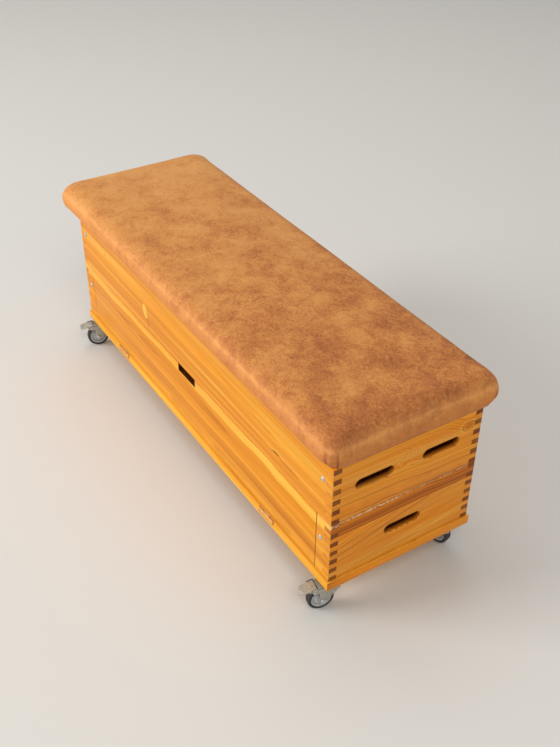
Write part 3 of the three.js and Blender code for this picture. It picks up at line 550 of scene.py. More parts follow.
def newPiece(name, mesh, *surfaces):
    data = bpy.data.meshes.new(name)
    mesh.to_mesh(data)
    mesh.free()
    piece = bpy.data.objects.new(name, data)
    scene.collection.objects.link(piece)
    for surface in surfaces:
        data.materials.append(materials[surface])
    return piece


def applyModifiers(piece):
    depsgraph = bpy.context.evaluated_depsgraph_get()
    data = bpy.data.meshes.new_from_object(piece.evaluated_get(depsgraph))
    piece.modifiers.clear()
    piece.data = data
    data.name = piece.name


def shadeByAngle(piece, degrees=32):
    piece.data.shade_smooth()
    piece.data.set_sharp_from_angle(angle=math.radians(degrees))


def settle(piece, body, slotName, *replaced):
    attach(piece, body)
    if replaced:
        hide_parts(*replaced)


def camelName(nodeName):
    first, *others = nodeName.split("_")
    return first + "".join(word.capitalize() for word in others)


def mergeInto(mesh, *others):
    for other in others:
        data = bpy.data.meshes.new("part")
        other.to_mesh(data)
        other.free()
        mesh.from_mesh(data)
        bpy.data.meshes.remove(data)
    return mesh


def bevelPiece(piece, width, segments=2, degrees=40):
    bevel = piece.modifiers.new("ease", "BEVEL")
    bevel.width = width * mm
    bevel.segments = segments
    bevel.limit_method = "ANGLE"
    bevel.angle_limit = math.radians(degrees)
    bevel.use_clamp_overlap = True
    applyModifiers(piece)


# Boards and posts. Each stave: height of its lower edge, tone from dark -1 to pale 1,
# heart behind the face, height of the heart, slant of the grain and depth of its curls, in millimetres.
boardLook = {
    "rounding": 6.0,
    "corner": 3.2,
    "handHole": 4.6,
    "handHoleInside": 6.0,
    "handHoles": {"upper": (-103.0, 103.0), "lower": (0.0,)},
    "notch": 1.6,
    "boltHole": 0.5,
    "rim": 1.0,
    "seamRims": {"top": 6.4, "bottom": 4.6},
    "chips": {"lower_right_end": (-230, -10), "lower_right_stile": (750, 791),
              "lower_left_end": (-224, -120)},
    "knocked": ("lower_right_end", "lower_right_stile"),
    "knockRadius": 11.0,
    "chipStep": 4.0,
    "chipDepth": 6.0,
    "chipReach": 11.0,
    "chipWaves": [{"rate": 0.045, "row": 3.7, "share": 0.9}, {"rate": 0.19, "row": 9.1, "share": 0.8}],
    "chipShares": {"always": 0.45, "down": 0.75, "inward": 0.55},
    "chipFades": (12.0, 40.0),
    "fingerReach": 26.0,
    # painted shade in the hand holes and the flap's notch: its strength and the depth where it starts, darker
    # deeper in
    "holeShade": {"_end": (0.95, 2.0), "_flap": (0.9, -14.0)},
    "holeShadeReach": 15.0,
    # bare wood on worn edges; the last entry is the strength of the painted shade in the seam
    "worn": {"corner": 0.2, "hole": 0.28, "seam": 1.3, "grime": 0.95},
    "creaseAngle": 12.0,
    "innerEdge": 0.4,
    "boltHeights": (255.0, 450.0),
    "boltZone": 5.0,
    "staves": {
        "upper_front_board": [(0, 0.02, 60, 430, 0.012, 3)],
        "lower_left_stile": [(214, 0.0, 46, 262, 0.006, 2), (0, 0.0, 58, 150, 0.0, 2)],
        "drop_flap": [(214, -0.07, 46, 262, 0.006, 2), (0, -0.07, 58, 150, 0.0, 2)],
        "lower_right_stile": [(214, 0.05, 46, 262, 0.006, 2), (0, 0.1, 58, 150, 0.0, 2)],
        "upper_rear_board": [(410, 0.05, 52, 470, 0.008, 3), (0, -0.1, 64, 380, 0.004, 3)],
        "lower_rear_board": [(238, -0.1, 58, 290, -0.008, 3), (0, 0.2, 44, 180, 0.006, 3)],
        "upper_right_end": [(0, 0.12, 26, 348, 0.05, 9)],
        "lower_right_end": [(276, -0.74, 80, 340, 0.0, 2), (0, 0.13, 62, 40, -0.24, 5)],
        "upper_left_end": [(392, 0.0, 40, 450, -0.03, 6), (0, -0.15, 58, 350, 0.02, 3)],
        "lower_left_end": [(250, -0.25, 50, 300, 0.02, 3), (0, 0.15, 44, 190, 0.03, 5)],
        "base_board": [(0, 0.5, 120, 60, 0.004, 1)],
    },
    "endTones": {"along": (0.0, 0.18), "across": (0.84, 1.0)},
    "baseWearShare": 0.4,
}
fingerRandom = random.Random(7)


def isNear(value, target, gap=0.6):
    return abs(value - target) < gap * mm


# width of the rounding on one edge of a board, by where the edge lies
def edgeRounding(edge, low, high, along, across, seamEdges):
    if len(edge.link_faces) != 2 or edge.calc_face_angle(0) < math.radians(boardLook["creaseAngle"]):
        return 0.0
    middle = (edge.verts[0].co + edge.verts[1].co) / 2
    run = (edge.verts[1].co - edge.verts[0].co).normalized()
    onFace = isNear(middle[across], low[across]) or isNear(middle[across], high[across])
    outward = 1 if middle[across] > 0 else -1
    onOuter = isNear(middle[across], (high if outward > 0 else low)[across])
    inEnds = min(middle[along] - low[along], high[along] - middle[along]) < boardLook["fingerReach"] * mm
    atEnd = isNear(middle[along], low[along]) or isNear(middle[along], high[along])
    for height, name in ((low.z, "bottom"), (high.z, "top")):
        if isNear(middle.z, height) and abs(run.z) < 0.1:
            if name in seamEdges and onOuter:
                return boardLook["seamRims"][name]
            return boardLook["rim"] if onFace else boardLook["innerEdge"]
    if abs(run.z) > 0.9 and atEnd:
        return boardLook["corner"] if onOuter else boardLook["innerEdge"]
    if inEnds:
        return 0.0
    if onFace:
        if any(isNear(middle.z, height * mm, boardLook["boltZone"]) for height in boardLook["boltHeights"]):
            return boardLook["boltHole"]
        return boardLook["handHole"] if onOuter else boardLook["handHoleInside"]
    return 0.0


# shares of a face's normal at which it is end grain, cut edge or top, and where wear and the painted shade in
# the holes start
grainLook = {
    "endFacing": 0.75,
    "bevelFacing": (0.08, 0.93),
    "wallFacing": 0.3,
    "topFacing": 0.88,
    "seamZone": {"below": 4.0, "above": 9.0},
    "cutMargin": 3.0,
    "fingerCell": (7.0, 50.0),
    "seedShares": (0.37, 0.11, 0.05),
    "plainSeamShare": 0.5,
    "holeShadeStart": 0.5,
}


# a wooden piece keeps its grain's heart, tone, end grain, and its wear and painted shade as attributes
def writeGrain(piece, staves, along, across, face, endTones, nodeName="", seamEdges=()):
    low, high = (Vector(corner) for corner in (piece.bound_box[0], piece.bound_box[6]))
    mesh = bmesh.new()
    mesh.from_mesh(piece.data)
    heart = mesh.faces.layers.float_vector.new("heart")
    stave = mesh.faces.layers.float_vector.new("stave")
    ends = mesh.loops.layers.float_vector.new("ends")
    look = grainLook
    bevelLow, bevelHigh = look["bevelFacing"]
    outward = 1 if face > 0 else -1
    turnSign = -1 if along == 1 else 1
    holeShadeStrength, holeShadeFrom = next((pair for ending, pair in boardLook["holeShade"].items()
                             if nodeName.endswith(ending)), (0.0, 0.0))
    lip = boardLook["notch" if nodeName == "drop_flap" else "handHole"]
    chipStart, chipEnd = boardLook["chips"].get(nodeName, (-math.inf, math.inf))
    fingerTones = {}
    for polygon in mesh.faces:
        centre = polygon.calc_center_median() / mm
        normal = polygon.normal
        aboveLow, belowHigh = centre.z - low.z / mm, high.z / mm - centre.z
        index = next(i for i, row in enumerate(staves) if centre.z >= row[0] or i == len(staves) - 1)
        bottom, tone, behind, height, slant, curl = staves[index]
        polygon[heart] = (curl, turnSign * (face / mm - outward * behind), height)
        parts = zip(look["seedShares"], (abs(face / mm), bottom, height))
        polygon[stave] = (round(sum(share * part for share, part in parts), 2), tone, slant)
        isEnd = 1.0 if abs(normal[along]) > look["endFacing"] else 0.0
        fromEnd = min(centre[along] - low[along] / mm, high[along] / mm - centre[along])
        inCut = fromEnd > boardLook["fingerReach"] and min(aboveLow, belowHigh) > look["cutMargin"]
        key = tuple(round(place / cell) for place, cell in zip((centre.z, centre[along]), look["fingerCell"]))
        if key not in fingerTones:
            fingerTones[key] = fingerRandom.uniform(*endTones)
        worn = 0.0
        if bevelLow < abs(normal[across]) < bevelHigh:
            under = aboveLow < look["seamZone"]["below"]
            atSeam = seamEdges and (under or belowHigh < look["seamZone"]["above"])
            worn = boardLook["worn"]["seam" if atSeam else "hole" if inCut else "corner"]
            if atSeam and not chipStart < centre[along] < chipEnd:
                worn *= look["plainSeamShare"]
            # the top of the seam's rounding and the rounding under the upper section get painted shade: the
            # shadow in the gap between the sections
            if atSeam and (under or normal.z > look["topFacing"]):
                worn = -boardLook["worn"]["grime"]
        for loop in polygon.loops:
            wearAndShade = worn
            # painted shade: the walls of the hand holes and the notch turn darker the deeper they lie
            if inCut and holeShadeStrength and abs(normal[across]) < bevelHigh:
                depth = abs(loop.vert.co[across] - face) / mm
                onWall = abs(normal[across]) < look["wallFacing"] or depth > lip - look["holeShadeStart"]
                if onWall and depth > look["holeShadeStart"]:
                    sunk = (depth - holeShadeFrom) / boardLook["holeShadeReach"]
                    wearAndShade = -holeShadeStrength * max(0.0, min(1.0, sunk))
            loop[ends] = (isEnd, fingerTones[key], wearAndShade)
    mesh.to_mesh(piece.data)
    mesh.free()


# splinters broken out of the upper edge, ragged and deeper towards the corner
def breakEdge(piece, nodeName, along, across, outer, top):
    start, end = boardLook["chips"][nodeName]
    fadeIn, fadeOut = boardLook["chipFades"]
    shares = boardLook["chipShares"]
    reach = boardLook["chipReach"] * mm
    for vert in piece.data.vertices:
        place = vert.co[along] / mm
        depth = abs(vert.co[across] - outer)
        if not start < place < end or vert.co.z < top - reach or depth > reach:
            continue
        bite = shares["always"]
        for wave in boardLook["chipWaves"]:
            bite += wave["share"] * noise.noise(Vector((place * wave["rate"], wave["row"], 0)))
        fade = min(1.0, (place - start) / fadeIn, (end - place) / fadeOut)
        near = 1 - max(depth, top - vert.co.z) / reach
        broken = max(0.0, bite) * boardLook["chipDepth"] * mm * fade * near
        vert.co.z -= broken * shares["down"]
        vert.co[across] += (-1 if outer > 0 else 1) * broken * shares["inward"]


# a corner of the section knocked round, like a ball of the given radius
def knockCorner(piece, corner, radius):
    signs = Vector((math.copysign(1, corner.x), math.copysign(1, corner.y), 1))
    centre = Vector(sign * (abs(value) - radius) for sign, value in zip(signs, corner))
    for vert in piece.data.vertices:
        away = vert.co - centre
        isBeyond = min(sign * off for sign, off in zip(signs, away)) > -0.01 * mm
        if isBeyond and away.length > radius:
            vert.co = centre + away.normalized() * radius


def woodenBoard(nodeName, along, body, slotName, seamEdges=()):
    across = 1 - along
    low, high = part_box(nodeName)
    middle = (low + high)[along] / 2 / mm
    holes = boardLook["handHoles"][nodeName.split("_")[0]] if along == 1 else ()
    mesh = meshFromNode(nodeName, along, [middle + place for place in holes])
    staves = boardLook["staves"][nodeName]
    upward, lengthways = unitAlong(2), unitAlong(along)
    for row in staves:
        if row[0] * mm > low.z:
            cutAlong(mesh, upward * row[0] * mm, upward)
    if nodeName in boardLook["chips"]:
        start, end = boardLook["chips"][nodeName]
        under = high.z - (boardLook["chipReach"] + 1) * mm
        cutAlong(mesh, upward * under, upward)
        for step in range(int((end - start) / boardLook["chipStep"])):
            upper = [f for f in mesh.faces if min(v.co.z for v in f.verts) > under - 0.01 * mm]
            geometry = list({g for f in upper for g in (*f.verts, *f.edges)}) + upper
            place = (start + step * boardLook["chipStep"]) * mm
            cutAlong(mesh, lengthways * place, lengthways, geometry)
    mesh.normal_update()
    weights = mesh.edges.layers.float.new("bevel_weight_edge")
    for edge in mesh.edges:
        width = edgeRounding(edge, low, high, along, across, seamEdges)
        if nodeName == "drop_flap" and width > boardLook["notch"]:
            width = boardLook["notch"]
        if nodeName == "base_board" and width > boardLook["rim"]:
            atCorner = any(isNear(v.co[along], end) for v in edge.verts for end in (low[along], high[along]))
            width = boardLook["rim"] if atCorner else 0.0
        edge[weights] = width / boardLook["rounding"]
    surface = "pineAlong" if along == 0 else "pineAcross"
    piece = newPiece(camelName(nodeName), mesh, surface)
    bevel = piece.modifiers.new("roundings", "BEVEL")
    bevel.limit_method = "WEIGHT"
    bevel.width = boardLook["rounding"] * mm
    bevel.segments = 3
    bevel.use_clamp_overlap = False
    applyModifiers(piece)
    face = high[across] if (low + high)[across] > 0 else low[across]
    if nodeName in boardLook["chips"]:
        breakEdge(piece, nodeName, along, across, face, high.z)
        if nodeName in boardLook["knocked"]:
            corner = (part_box("lower_right_end")[1].x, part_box("lower_right_stile")[0].y, high.z)
            knockCorner(piece, Vector(corner), boardLook["knockRadius"] * mm)
    endTones = boardLook["endTones"]["along" if along == 0 else "across"]
    writeGrain(piece, staves, along, across, face, endTones, nodeName, seamEdges)
    shadeByAngle(piece)
    settle(piece, body, slotName, nodeName)
    return piece


for board in ("upper_front_board", "upper_rear_board"):
    woodenBoard(board, 0, "top_section", "pine")
woodenBoard("lower_rear_board", 0, "lower_section", "pine")
for board in ("lower_left_stile", "lower_right_stile"):
    woodenBoard(board, 0, "lower_section", "pine", ("top",))
woodenBoard("drop_flap", 0, "flap", "pine")
for board in ("upper_left_end", "upper_right_end"):
    woodenBoard(board, 1, "top_section", "pine_end", ("bottom",))
for board in ("lower_left_end", "lower_right_end"):
    woodenBoard(board, 1, "lower_section", "pine_end", ("top",))
baseBoard = woodenBoard("base_board", 0, "lower_section", "base_wood")
baseBoard.data.materials.append(materials["pineAcross"])
for ends in baseBoard.data.attributes["ends"].data:
    ends.vector = (0, 0, ends.vector.z * boardLook["baseWearShare"])
# its ends' grain is drawn across
for polygon, stave in zip(baseBoard.data.polygons, baseBoard.data.attributes["stave"].data):
    if abs(polygon.normal.x) > 0.5:
        polygon.material_index = 1
        stave.vector = (stave.vector.x, 0.0, 0.0)
print("boards made")

# Posts in the corners: their heart lies this far off, in millimetres
postLook = {"rounding": 1.2, "heart": (40.0, -30.0), "tone": 0.25, "endTone": 0.3}


def cornerPost(nodeName, body):
    mesh = meshFromNode(nodeName)
    upright = [e for e in mesh.edges if abs((e.verts[1].co - e.verts[0].co).normalized().z) > 0.9]
    bmesh.ops.bevel(mesh, geom=upright, offset=postLook["rounding"] * mm, segments=2, profile=0.5,
                    affect="EDGES", material=-1)
    piece = newPiece(camelName(nodeName), mesh, "pineUpright")
    low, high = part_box(nodeName)
    grain = bmesh.new()
    grain.from_mesh(piece.data)
    heart = grain.faces.layers.float_vector.new("heart")
    stave = grain.faces.layers.float_vector.new("stave")
    ends = grain.faces.layers.float_vector.new("ends")
    middle = (low + high) / 2 / mm
    for polygon in grain.faces:
        polygon[heart] = (0, middle.y + postLook["heart"][0], -middle.x + postLook["heart"][1])
        polygon[stave] = (middle.x * 0.01 + middle.z * 0.02, postLook["tone"], 0.0)
        isEnd = 1.0 if abs(polygon.normal.z) > grainLook["endFacing"] else 0.0
        polygon[ends] = (isEnd, postLook["endTone"], 0.0)
    grain.to_mesh(piece.data)
    grain.free()
    shadeByAngle(piece)
    settle(piece, body, "block_wood", nodeName)


corners = ("front_left", "front_right", "rear_left", "rear_right")
for corner in corners:
    cornerPost("upper_corner_block_" + corner, "top_section")
    cornerPost("lower_corner_block_" + corner, "lower_section")
print("corner posts made")

# Oval inlays let into the upper front board where knots were drilled out, and a crack, in millimetres
plugLook = {
    "plugs": [{"x": -222, "z": 389, "width": 34, "height": 50, "lean": -8},
              {"x": -522, "z": 455, "width": 24, "height": 27, "lean": -3},
              {"x": -654, "z": 336, "width": 17, "height": 11, "lean": 0}],
    "cracks": [{"x": -206, "z": 349, "width": 2.4, "height": 34, "lean": -5}],
    "steps": 40,
    "wobble": 0.05,
    "proud": {"plug": 0.25, "glue": 0.08, "crack": 0.06},
    "sunk": 0.6,
    "glue": 0.9,
    "ease": 0.15,
    "grain": (0, 0.75, 60, 300, 0.0, 2),
}


def ovalBody(plug, grow, proud):
    look = plugLook
    mesh = bmesh.new()
    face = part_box("upper_front_board")[0].y
    ring = []
    for step in range(look["steps"]):
        angle = math.tau * step / look["steps"]
        wobble = 1 + look["wobble"] * math.sin(3 * angle + plug["x"])
        across = (plug["width"] / 2 + grow) * math.cos(angle) * wobble
        up = (plug["height"] / 2 + grow) * math.sin(angle)
        x = plug["x"] + across + plug["lean"] * up / plug["height"]
        ring.append(mesh.verts.new((x * mm, face - proud * mm, (plug["z"] + up) * mm)))
    mesh.faces.new(ring)
    raised = bmesh.ops.extrude_face_region(mesh, geom=mesh.faces[:])["geom"]
    bmesh.ops.translate(mesh, vec=(0, (proud + look["sunk"]) * mm, 0), verts=vertsOf(raised))
    bmesh.ops.recalc_face_normals(mesh, faces=mesh.faces)
    return mesh


def woodPlugs():
    proud = plugLook["proud"]
    oval, seam = bmesh.new(), bmesh.new()
    for plug in plugLook["plugs"]:
        mergeInto(oval, ovalBody(plug, 0, proud["plug"]))
        mergeInto(seam, ovalBody(plug, plugLook["glue"], proud["glue"]))
    for crack in plugLook["cracks"]:
        mergeInto(seam, ovalBody(crack, 0, proud["crack"]))
    inlay = newPiece("woodPlugs", oval, "pineUpright")
    bevelPiece(inlay, plugLook["ease"], 2, 50)
    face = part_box("upper_front_board")[0].y
    writeGrain(inlay, [plugLook["grain"]], 0, 1, face, (1.0, 1.0))
    for ends in inlay.data.attributes["ends"].data:
        ends.vector = (0, 0, 0)
    shadeByAngle(inlay)
    settle(inlay, "top_section", "pine")
    glue = newPiece("plugSeams", seam, "resin")
    shadeByAngle(glue)
    settle(glue, "top_section", "pine")


woodPlugs()
print("plugs made")

# The padded top: suede drawn over foam and a plywood deck, swelled by a cloth simulation
padLook = {
    "voxel": 9.0,
    "startInset": 2.0,
    "fuller": {"top": (6.0, -4.5, -3.0), "front": (9.5, -5.5, -4.0), "rear": (1.5, -1.5, 0.0)},
    "leftGrowth": 8.5,
    "cornerZone": 92.0,
    "sharpCorner": 38.0,
    "roundCorner": {"upper": 43.0, "hem": 52.0},
    "widestHeight": 545.0,
    "apron": 18.0,
    "heldHeight": 6.0,
    "pressure": 4.0,
    "frames": 20,
    "cap": 6.0,
    "thickness": 1.8,
    "pleatAngles": (-9.0, 20.0),
    "pleatWidth": 4.0,
    "pleatDepth": 6.5,
    "pleatHem": 18.0,
    "deckCorner": 24.0,
    "overDeck": 2.4,
    "pleatHeight": 58.0,
    "pleatShape": {"sharpness": 1.4, "lapAway": 1.9, "lapShare": 0.4},
    "pleatZone": {"finer": 12.0, "moved": 2.0, "above": 10.0},
    "cornerRadius": 38.0,
    "bulge": (0.12, 0.6),
    "smoothing": 0.3,
}


def outerSkin():
    mesh = bmesh.new()
    mesh.from_mesh(frame["nodes"]["suede_cover"].data)
    bmesh.ops.remove_doubles(mesh, verts=mesh.verts, dist=0.01 * mm)
    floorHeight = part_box("suede_cover")[0].z
    hem = [f for f in mesh.faces if max(v.co.z for v in f.verts) < floorHeight + 0.1 * mm]
    bmesh.ops.delete(mesh, geom=hem, context="FACES")
    wanted = {max(mesh.verts, key=lambda v: v.co.z)}
    growing = list(wanted)
    while growing:
        vert = growing.pop()
        for edge in vert.link_edges:
            other = edge.other_vert(vert)
            if other not in wanted:
                wanted.add(other)
                growing.append(other)
    bmesh.ops.delete(mesh, geom=[v for v in mesh.verts if v not in wanted], context="VERTS")
    rim = [e for e in mesh.edges if e.is_boundary]
    apron = bmesh.ops.extrude_edge_only(mesh, edges=rim)["geom"]
    bmesh.ops.translate(mesh, vec=(0, 0, -padLook["apron"] * mm), verts=vertsOf(apron))
    bmesh.ops.holes_fill(mesh, edges=[e for e in mesh.edges if e.is_boundary], sides=0)
    bmesh.ops.recalc_face_normals(mesh, faces=mesh.faces)
    return mesh, floorHeight


def swellPad(pad, floorHeight):
    heldTop = floorHeight + padLook["heldHeight"] * mm
    held = pad.vertex_groups.new(name="held")
    held.add([v.index for v in pad.data.vertices if v.co.z < heldTop], 1.0, "REPLACE")
    start = [v.co.copy() for v in pad.data.vertices]
    cloth = pad.modifiers.new("swell", "CLOTH")
    cloth.settings.quality = 5
    cloth.settings.mass = 0.35
    cloth.settings.tension_stiffness = 30
    cloth.settings.compression_stiffness = 30
    cloth.settings.shear_stiffness = 10
    cloth.settings.bending_stiffness = 4
    cloth.settings.use_pressure = True
    cloth.settings.uniform_pressure_force = padLook["pressure"]
    cloth.settings.vertex_group_mass = "held"
    cloth.settings.effector_weights.gravity = 0
    for step in range(1, padLook["frames"] + 1):
        scene.frame_set(step)
    applyModifiers(pad)
    scene.frame_set(1)
    furthest = max((vert.co - before).length for vert, before in zip(pad.data.vertices, start))
    share = min(1.0, padLook["cap"] * mm / furthest)
    for vert, before in zip(pad.data.vertices, start):
        vert.co = before + (vert.co - before) * share
    pad.vertex_groups.clear()
    print("pad swelled by up to", round(furthest / mm, 1), "mm, of which", round(share, 2), "kept")


# distance from the corner zone's inner point to a border rounded by the radius, along an angle
def borderReach(angle, radius):
    zone = padLook["cornerZone"]
    inner = zone - radius
    along = inner * (math.cos(angle) + math.sin(angle))
    reach = along + math.sqrt(max(0.0, along * along - 2 * inner * inner + radius * radius))
    if min(reach * math.cos(angle), reach * math.sin(angle)) < inner:
        reach = zone / max(math.cos(angle), math.sin(angle))
    return reach


# the foam is fuller towards the left end, and the hide draws its corners in, most at the hem
def fillOut(mesh, floorHeight):
    look = padLook
    low, high = (Vector(corner(v.co[axis] for v in mesh.verts) for axis in range(3)) for corner in (min, max))
    centre = (low + high) / 2
    half = (high - low) / 2
    zone = look["cornerZone"]
    for vert in mesh.verts:
        offX, offY = ((vert.co[axis] - centre[axis]) / mm for axis in (0, 1))
        overX, overY = (abs(off) - half[axis] / mm + zone for axis, off in ((0, offX), (1, offY)))
        if overX > 0 and overY > 0:
            angle = math.atan2(overY, overX)
            upper, hem = look["roundCorner"]["upper"], look["roundCorner"]["hem"]
            drop = (look["widestHeight"] * mm - vert.co.z) / (look["widestHeight"] * mm - floorHeight)
            radius = upper + (hem - upper) * max(0.0, min(1.0, drop))
            share = borderReach(angle, radius) / borderReach(angle, look["sharpCorner"])
            vert.co.x -= math.copysign(overX * (1 - share), offX) * mm
            vert.co.y -= math.copysign(overY * (1 - share), offY) * mm
    for vert in mesh.verts:
        along = (vert.co.x - centre.x) / half.x
        grow = {side: a + b * along + c * along * along for side, (a, b, c) in look["fuller"].items()}
        height = max(0.0, min(1.0, (vert.co.z - floorHeight) / (high.z - floorHeight)))
        side = (vert.co.y - centre.y) / half.y
        middle = math.sin(math.pi * min(1.0, look["bulge"][0] + height * look["bulge"][1]))
        vert.co.z += grow["top"] * height * mm
        vert.co.y += grow["front" if side < 0 else "rear"] * side * abs(side) * middle * mm
        if along < 0:
            vert.co.x -= look["leftGrowth"] * along * along * middle * mm


# the hide lies outside the deck's rounded corners
def clearDeck(mesh):
    low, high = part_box("top_deck")
    radius = padLook["deckCorner"] * mm
    clear = radius + padLook["overDeck"] * mm
    for vert in mesh.verts:
        if vert.co.z > high.z + 2 * mm:
            continue
        signs = [math.copysign(1, vert.co[axis] - (low[axis] + high[axis]) / 2) for axis in (0, 1)]
        inner = [(high[axis] if sign > 0 else low[axis]) - sign * radius for axis, sign in zip((0, 1), signs)]
        off = Vector(sign * (vert.co[axis] - middle) for axis, sign, middle in zip((0, 1), signs, inner))
        if min(off) > 0 and off.length < clear:
            off *= clear / off.length
            for axis, sign, middle in zip((0, 1), signs, inner):
                vert.co[axis] = middle + sign * off[axis]


def isInCorner(place, centre, signX, signY, height, beside):
    rel = place.xy - centre
    return place.z <= height and min(rel.x * signX, rel.y * signY) >= -beside


# two tucked folds beside each corner, deepest just above the hem, with painted shade along their grooves
def foldCorners(mesh, floorHeight):
    look = padLook
    fold = mesh.verts.layers.float.new("fold")
    deckLow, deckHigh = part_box("top_deck")
    radius = look["cornerRadius"] * mm
    top = floorHeight + look["pleatHeight"] * mm
    zone = {name: size * mm for name, size in look["pleatZone"].items()}
    shape = look["pleatShape"]
    for signX, signY in ((-1, -1), (-1, 1), (1, -1), (1, 1)):
        centre = Vector((deckHigh.x - radius if signX > 0 else deckLow.x + radius,
                         deckHigh.y - radius if signY > 0 else deckLow.y + radius))
        diagonal = math.atan2(signY, signX)
        finerTop = top + zone["above"]
        near = {v for v in mesh.verts if isInCorner(v.co, centre, signX, signY, finerTop, zone["finer"])}
        edges = [e for e in mesh.edges if e.verts[0] in near and e.verts[1] in near]
        bmesh.ops.subdivide_edges(mesh, edges=edges, cuts=1, use_grid_fill=True, smooth=0.0)
        for vert in mesh.verts:
            if not isInCorner(vert.co, centre, signX, signY, top, zone["moved"]):
                continue
            rel = vert.co.xy - centre
            angle = math.degrees(math.atan2(rel.y, rel.x) - diagonal)
            angle = (angle + 180) % 360 - 180
            fade = max(0.0, min(1.0, 1 - (vert.co.z - floorHeight) / (top - floorHeight)))
            above = min(1.0, (vert.co.z - floorHeight) / mm / look["pleatHem"])
            shift = 0.0
            for pleat in look["pleatAngles"]:
                away = (angle - pleat * signX * signY) / look["pleatWidth"]
                groove = math.exp(-abs(away) * shape["sharpness"])
                lap = away - shape["lapAway"]
                shift += look["pleatDepth"] * (shape["lapShare"] * math.exp(-lap * lap) - groove * above)
                # painted shade along each groove, strongest low down
                vert[fold] = max(vert[fold], groove * fade)
            vert.co.xy = centre + rel.normalized() * (rel.length + shift * fade * mm)


def paddedTop():
    mesh, floorHeight = outerSkin()
    pad = newPiece("suedeTop", mesh, "suede")
    normals = [v.normal.copy() for v in pad.data.vertices]
    for vert, normal in zip(pad.data.vertices, normals):
        vert.co.z -= max(0.0, normal.z) * padLook["startInset"] * mm
    remesh = pad.modifiers.new("evenFaces", "REMESH")
    remesh.mode = "VOXEL"
    remesh.voxel_size = padLook["voxel"] * mm
    applyModifiers(pad)
    swellPad(pad, floorHeight)
    smooth = pad.modifiers.new("fine", "SUBSURF")
    smooth.levels = smooth.render_levels = 1
    applyModifiers(pad)
    skin = bmesh.new()
    skin.from_mesh(pad.data)
    geometry = skin.verts[:] + skin.edges[:] + skin.faces[:]
    bmesh.ops.bisect_plane(skin, geom=geometry, dist=0.01 * mm, plane_co=(0, 0, floorHeight),
                           plane_no=(0, 0, -1), clear_outer=True)
    fillOut(skin, floorHeight)
    foldCorners(skin, floorHeight)
    loose = [v for v in skin.verts if not v.is_boundary]
    bmesh.ops.smooth_vert(skin, verts=loose, factor=padLook["smoothing"], use_axis_x=True, use_axis_y=True,
                          use_axis_z=True)
    clearDeck(skin)
    skin.to_mesh(pad.data)
    skin.free()
    wall = pad.modifiers.new("hide", "SOLIDIFY")
    wall.thickness = padLook["thickness"] * mm
    wall.offset = -1
    applyModifiers(pad)
    pad.data.shade_smooth()
    settle(pad, "top_section", "suede", "suede_cover", "foam_padding")
    print("pad made:", len(pad.data.polygons), "faces")


paddedTop()

deck = frame["nodes"]["top_deck"]
for slot in deck.material_slots:
    slot.material = materials["plywood"]


# turns an outline of (radius, place) points round an axis into a closed body
def spunBody(outlinePoints, axis, steps):
    mesh = bmesh.new()
    side = unitAlong(0 if axis == "Z" else 2)
    run = unitAlong("XYZ".index(axis))
    verts = [mesh.verts.new((side * radius + run * place) * mm) for radius, place in outlinePoints]
    edges = [mesh.edges.new(pair) for pair in zip(verts, verts[1:])]
    if outlinePoints[0][0] > 0:
        edges.append(mesh.edges.new((verts[-1], verts[0])))
    bmesh.ops.spin(mesh, geom=verts + edges, cent=(0, 0, 0), axis=run, angle=math.tau, steps=steps,
                   use_merge=True)
    bmesh.ops.remove_doubles(mesh, verts=mesh.verts, dist=0.002 * mm)
    bmesh.ops.recalc_face_normals(mesh, faces=mesh.faces)
    return mesh


# points round part of a circle, both ends included
def arcPoints(centre, radius, start, end, steps):
    found = []
    for step in range(steps + 1):
        angle = math.radians(start + (end - start) * step / steps)
        found.append((centre[0] + radius * math.cos(angle), centre[1] + radius * math.sin(angle)))
    return found


# a flat outline drawn in Y and Z, given its thickness along X
def sheetBody(points, fromX, thickness):
    mesh = bmesh.new()
    verts = [mesh.verts.new((fromX * mm, y * mm, z * mm)) for y, z in points]
    mesh.faces.new(verts)
    raised = bmesh.ops.extrude_face_region(mesh, geom=mesh.faces[:])["geom"]
    bmesh.ops.translate(mesh, vec=(thickness * mm, 0, 0), verts=vertsOf(raised))
    bmesh.ops.recalc_face_normals(mesh, faces=mesh.faces)
    return mesh


def blockBody(low, high):
    mesh = bmesh.new()
    bmesh.ops.create_cube(mesh, size=1.0)
    size = Vector(high) - Vector(low)
    middle = (Vector(high) + Vector(low)) / 2
    bmesh.ops.scale(mesh, vec=size * mm, verts=mesh.verts)
    bmesh.ops.translate(mesh, vec=middle * mm, verts=mesh.verts)
    return mesh


# Bolts through the long sides: domed heads, hexagon nuts inside
boltLook = {
    "domeRadius": 7.4,
    "domeHeight": 3.6,
    "domeEdge": 0.8,
    "domeSteps": 8,
    "gap": 0.2,
    "shank": 4.0,
    "length": 55.6,
    "nutRadius": 7.168,
    "nutHeight": 5.0,
    "ease": 0.4,
}
sideFaces = {-1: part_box("upper_front_board")[0].y, 1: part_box("upper_rear_board")[1].y}


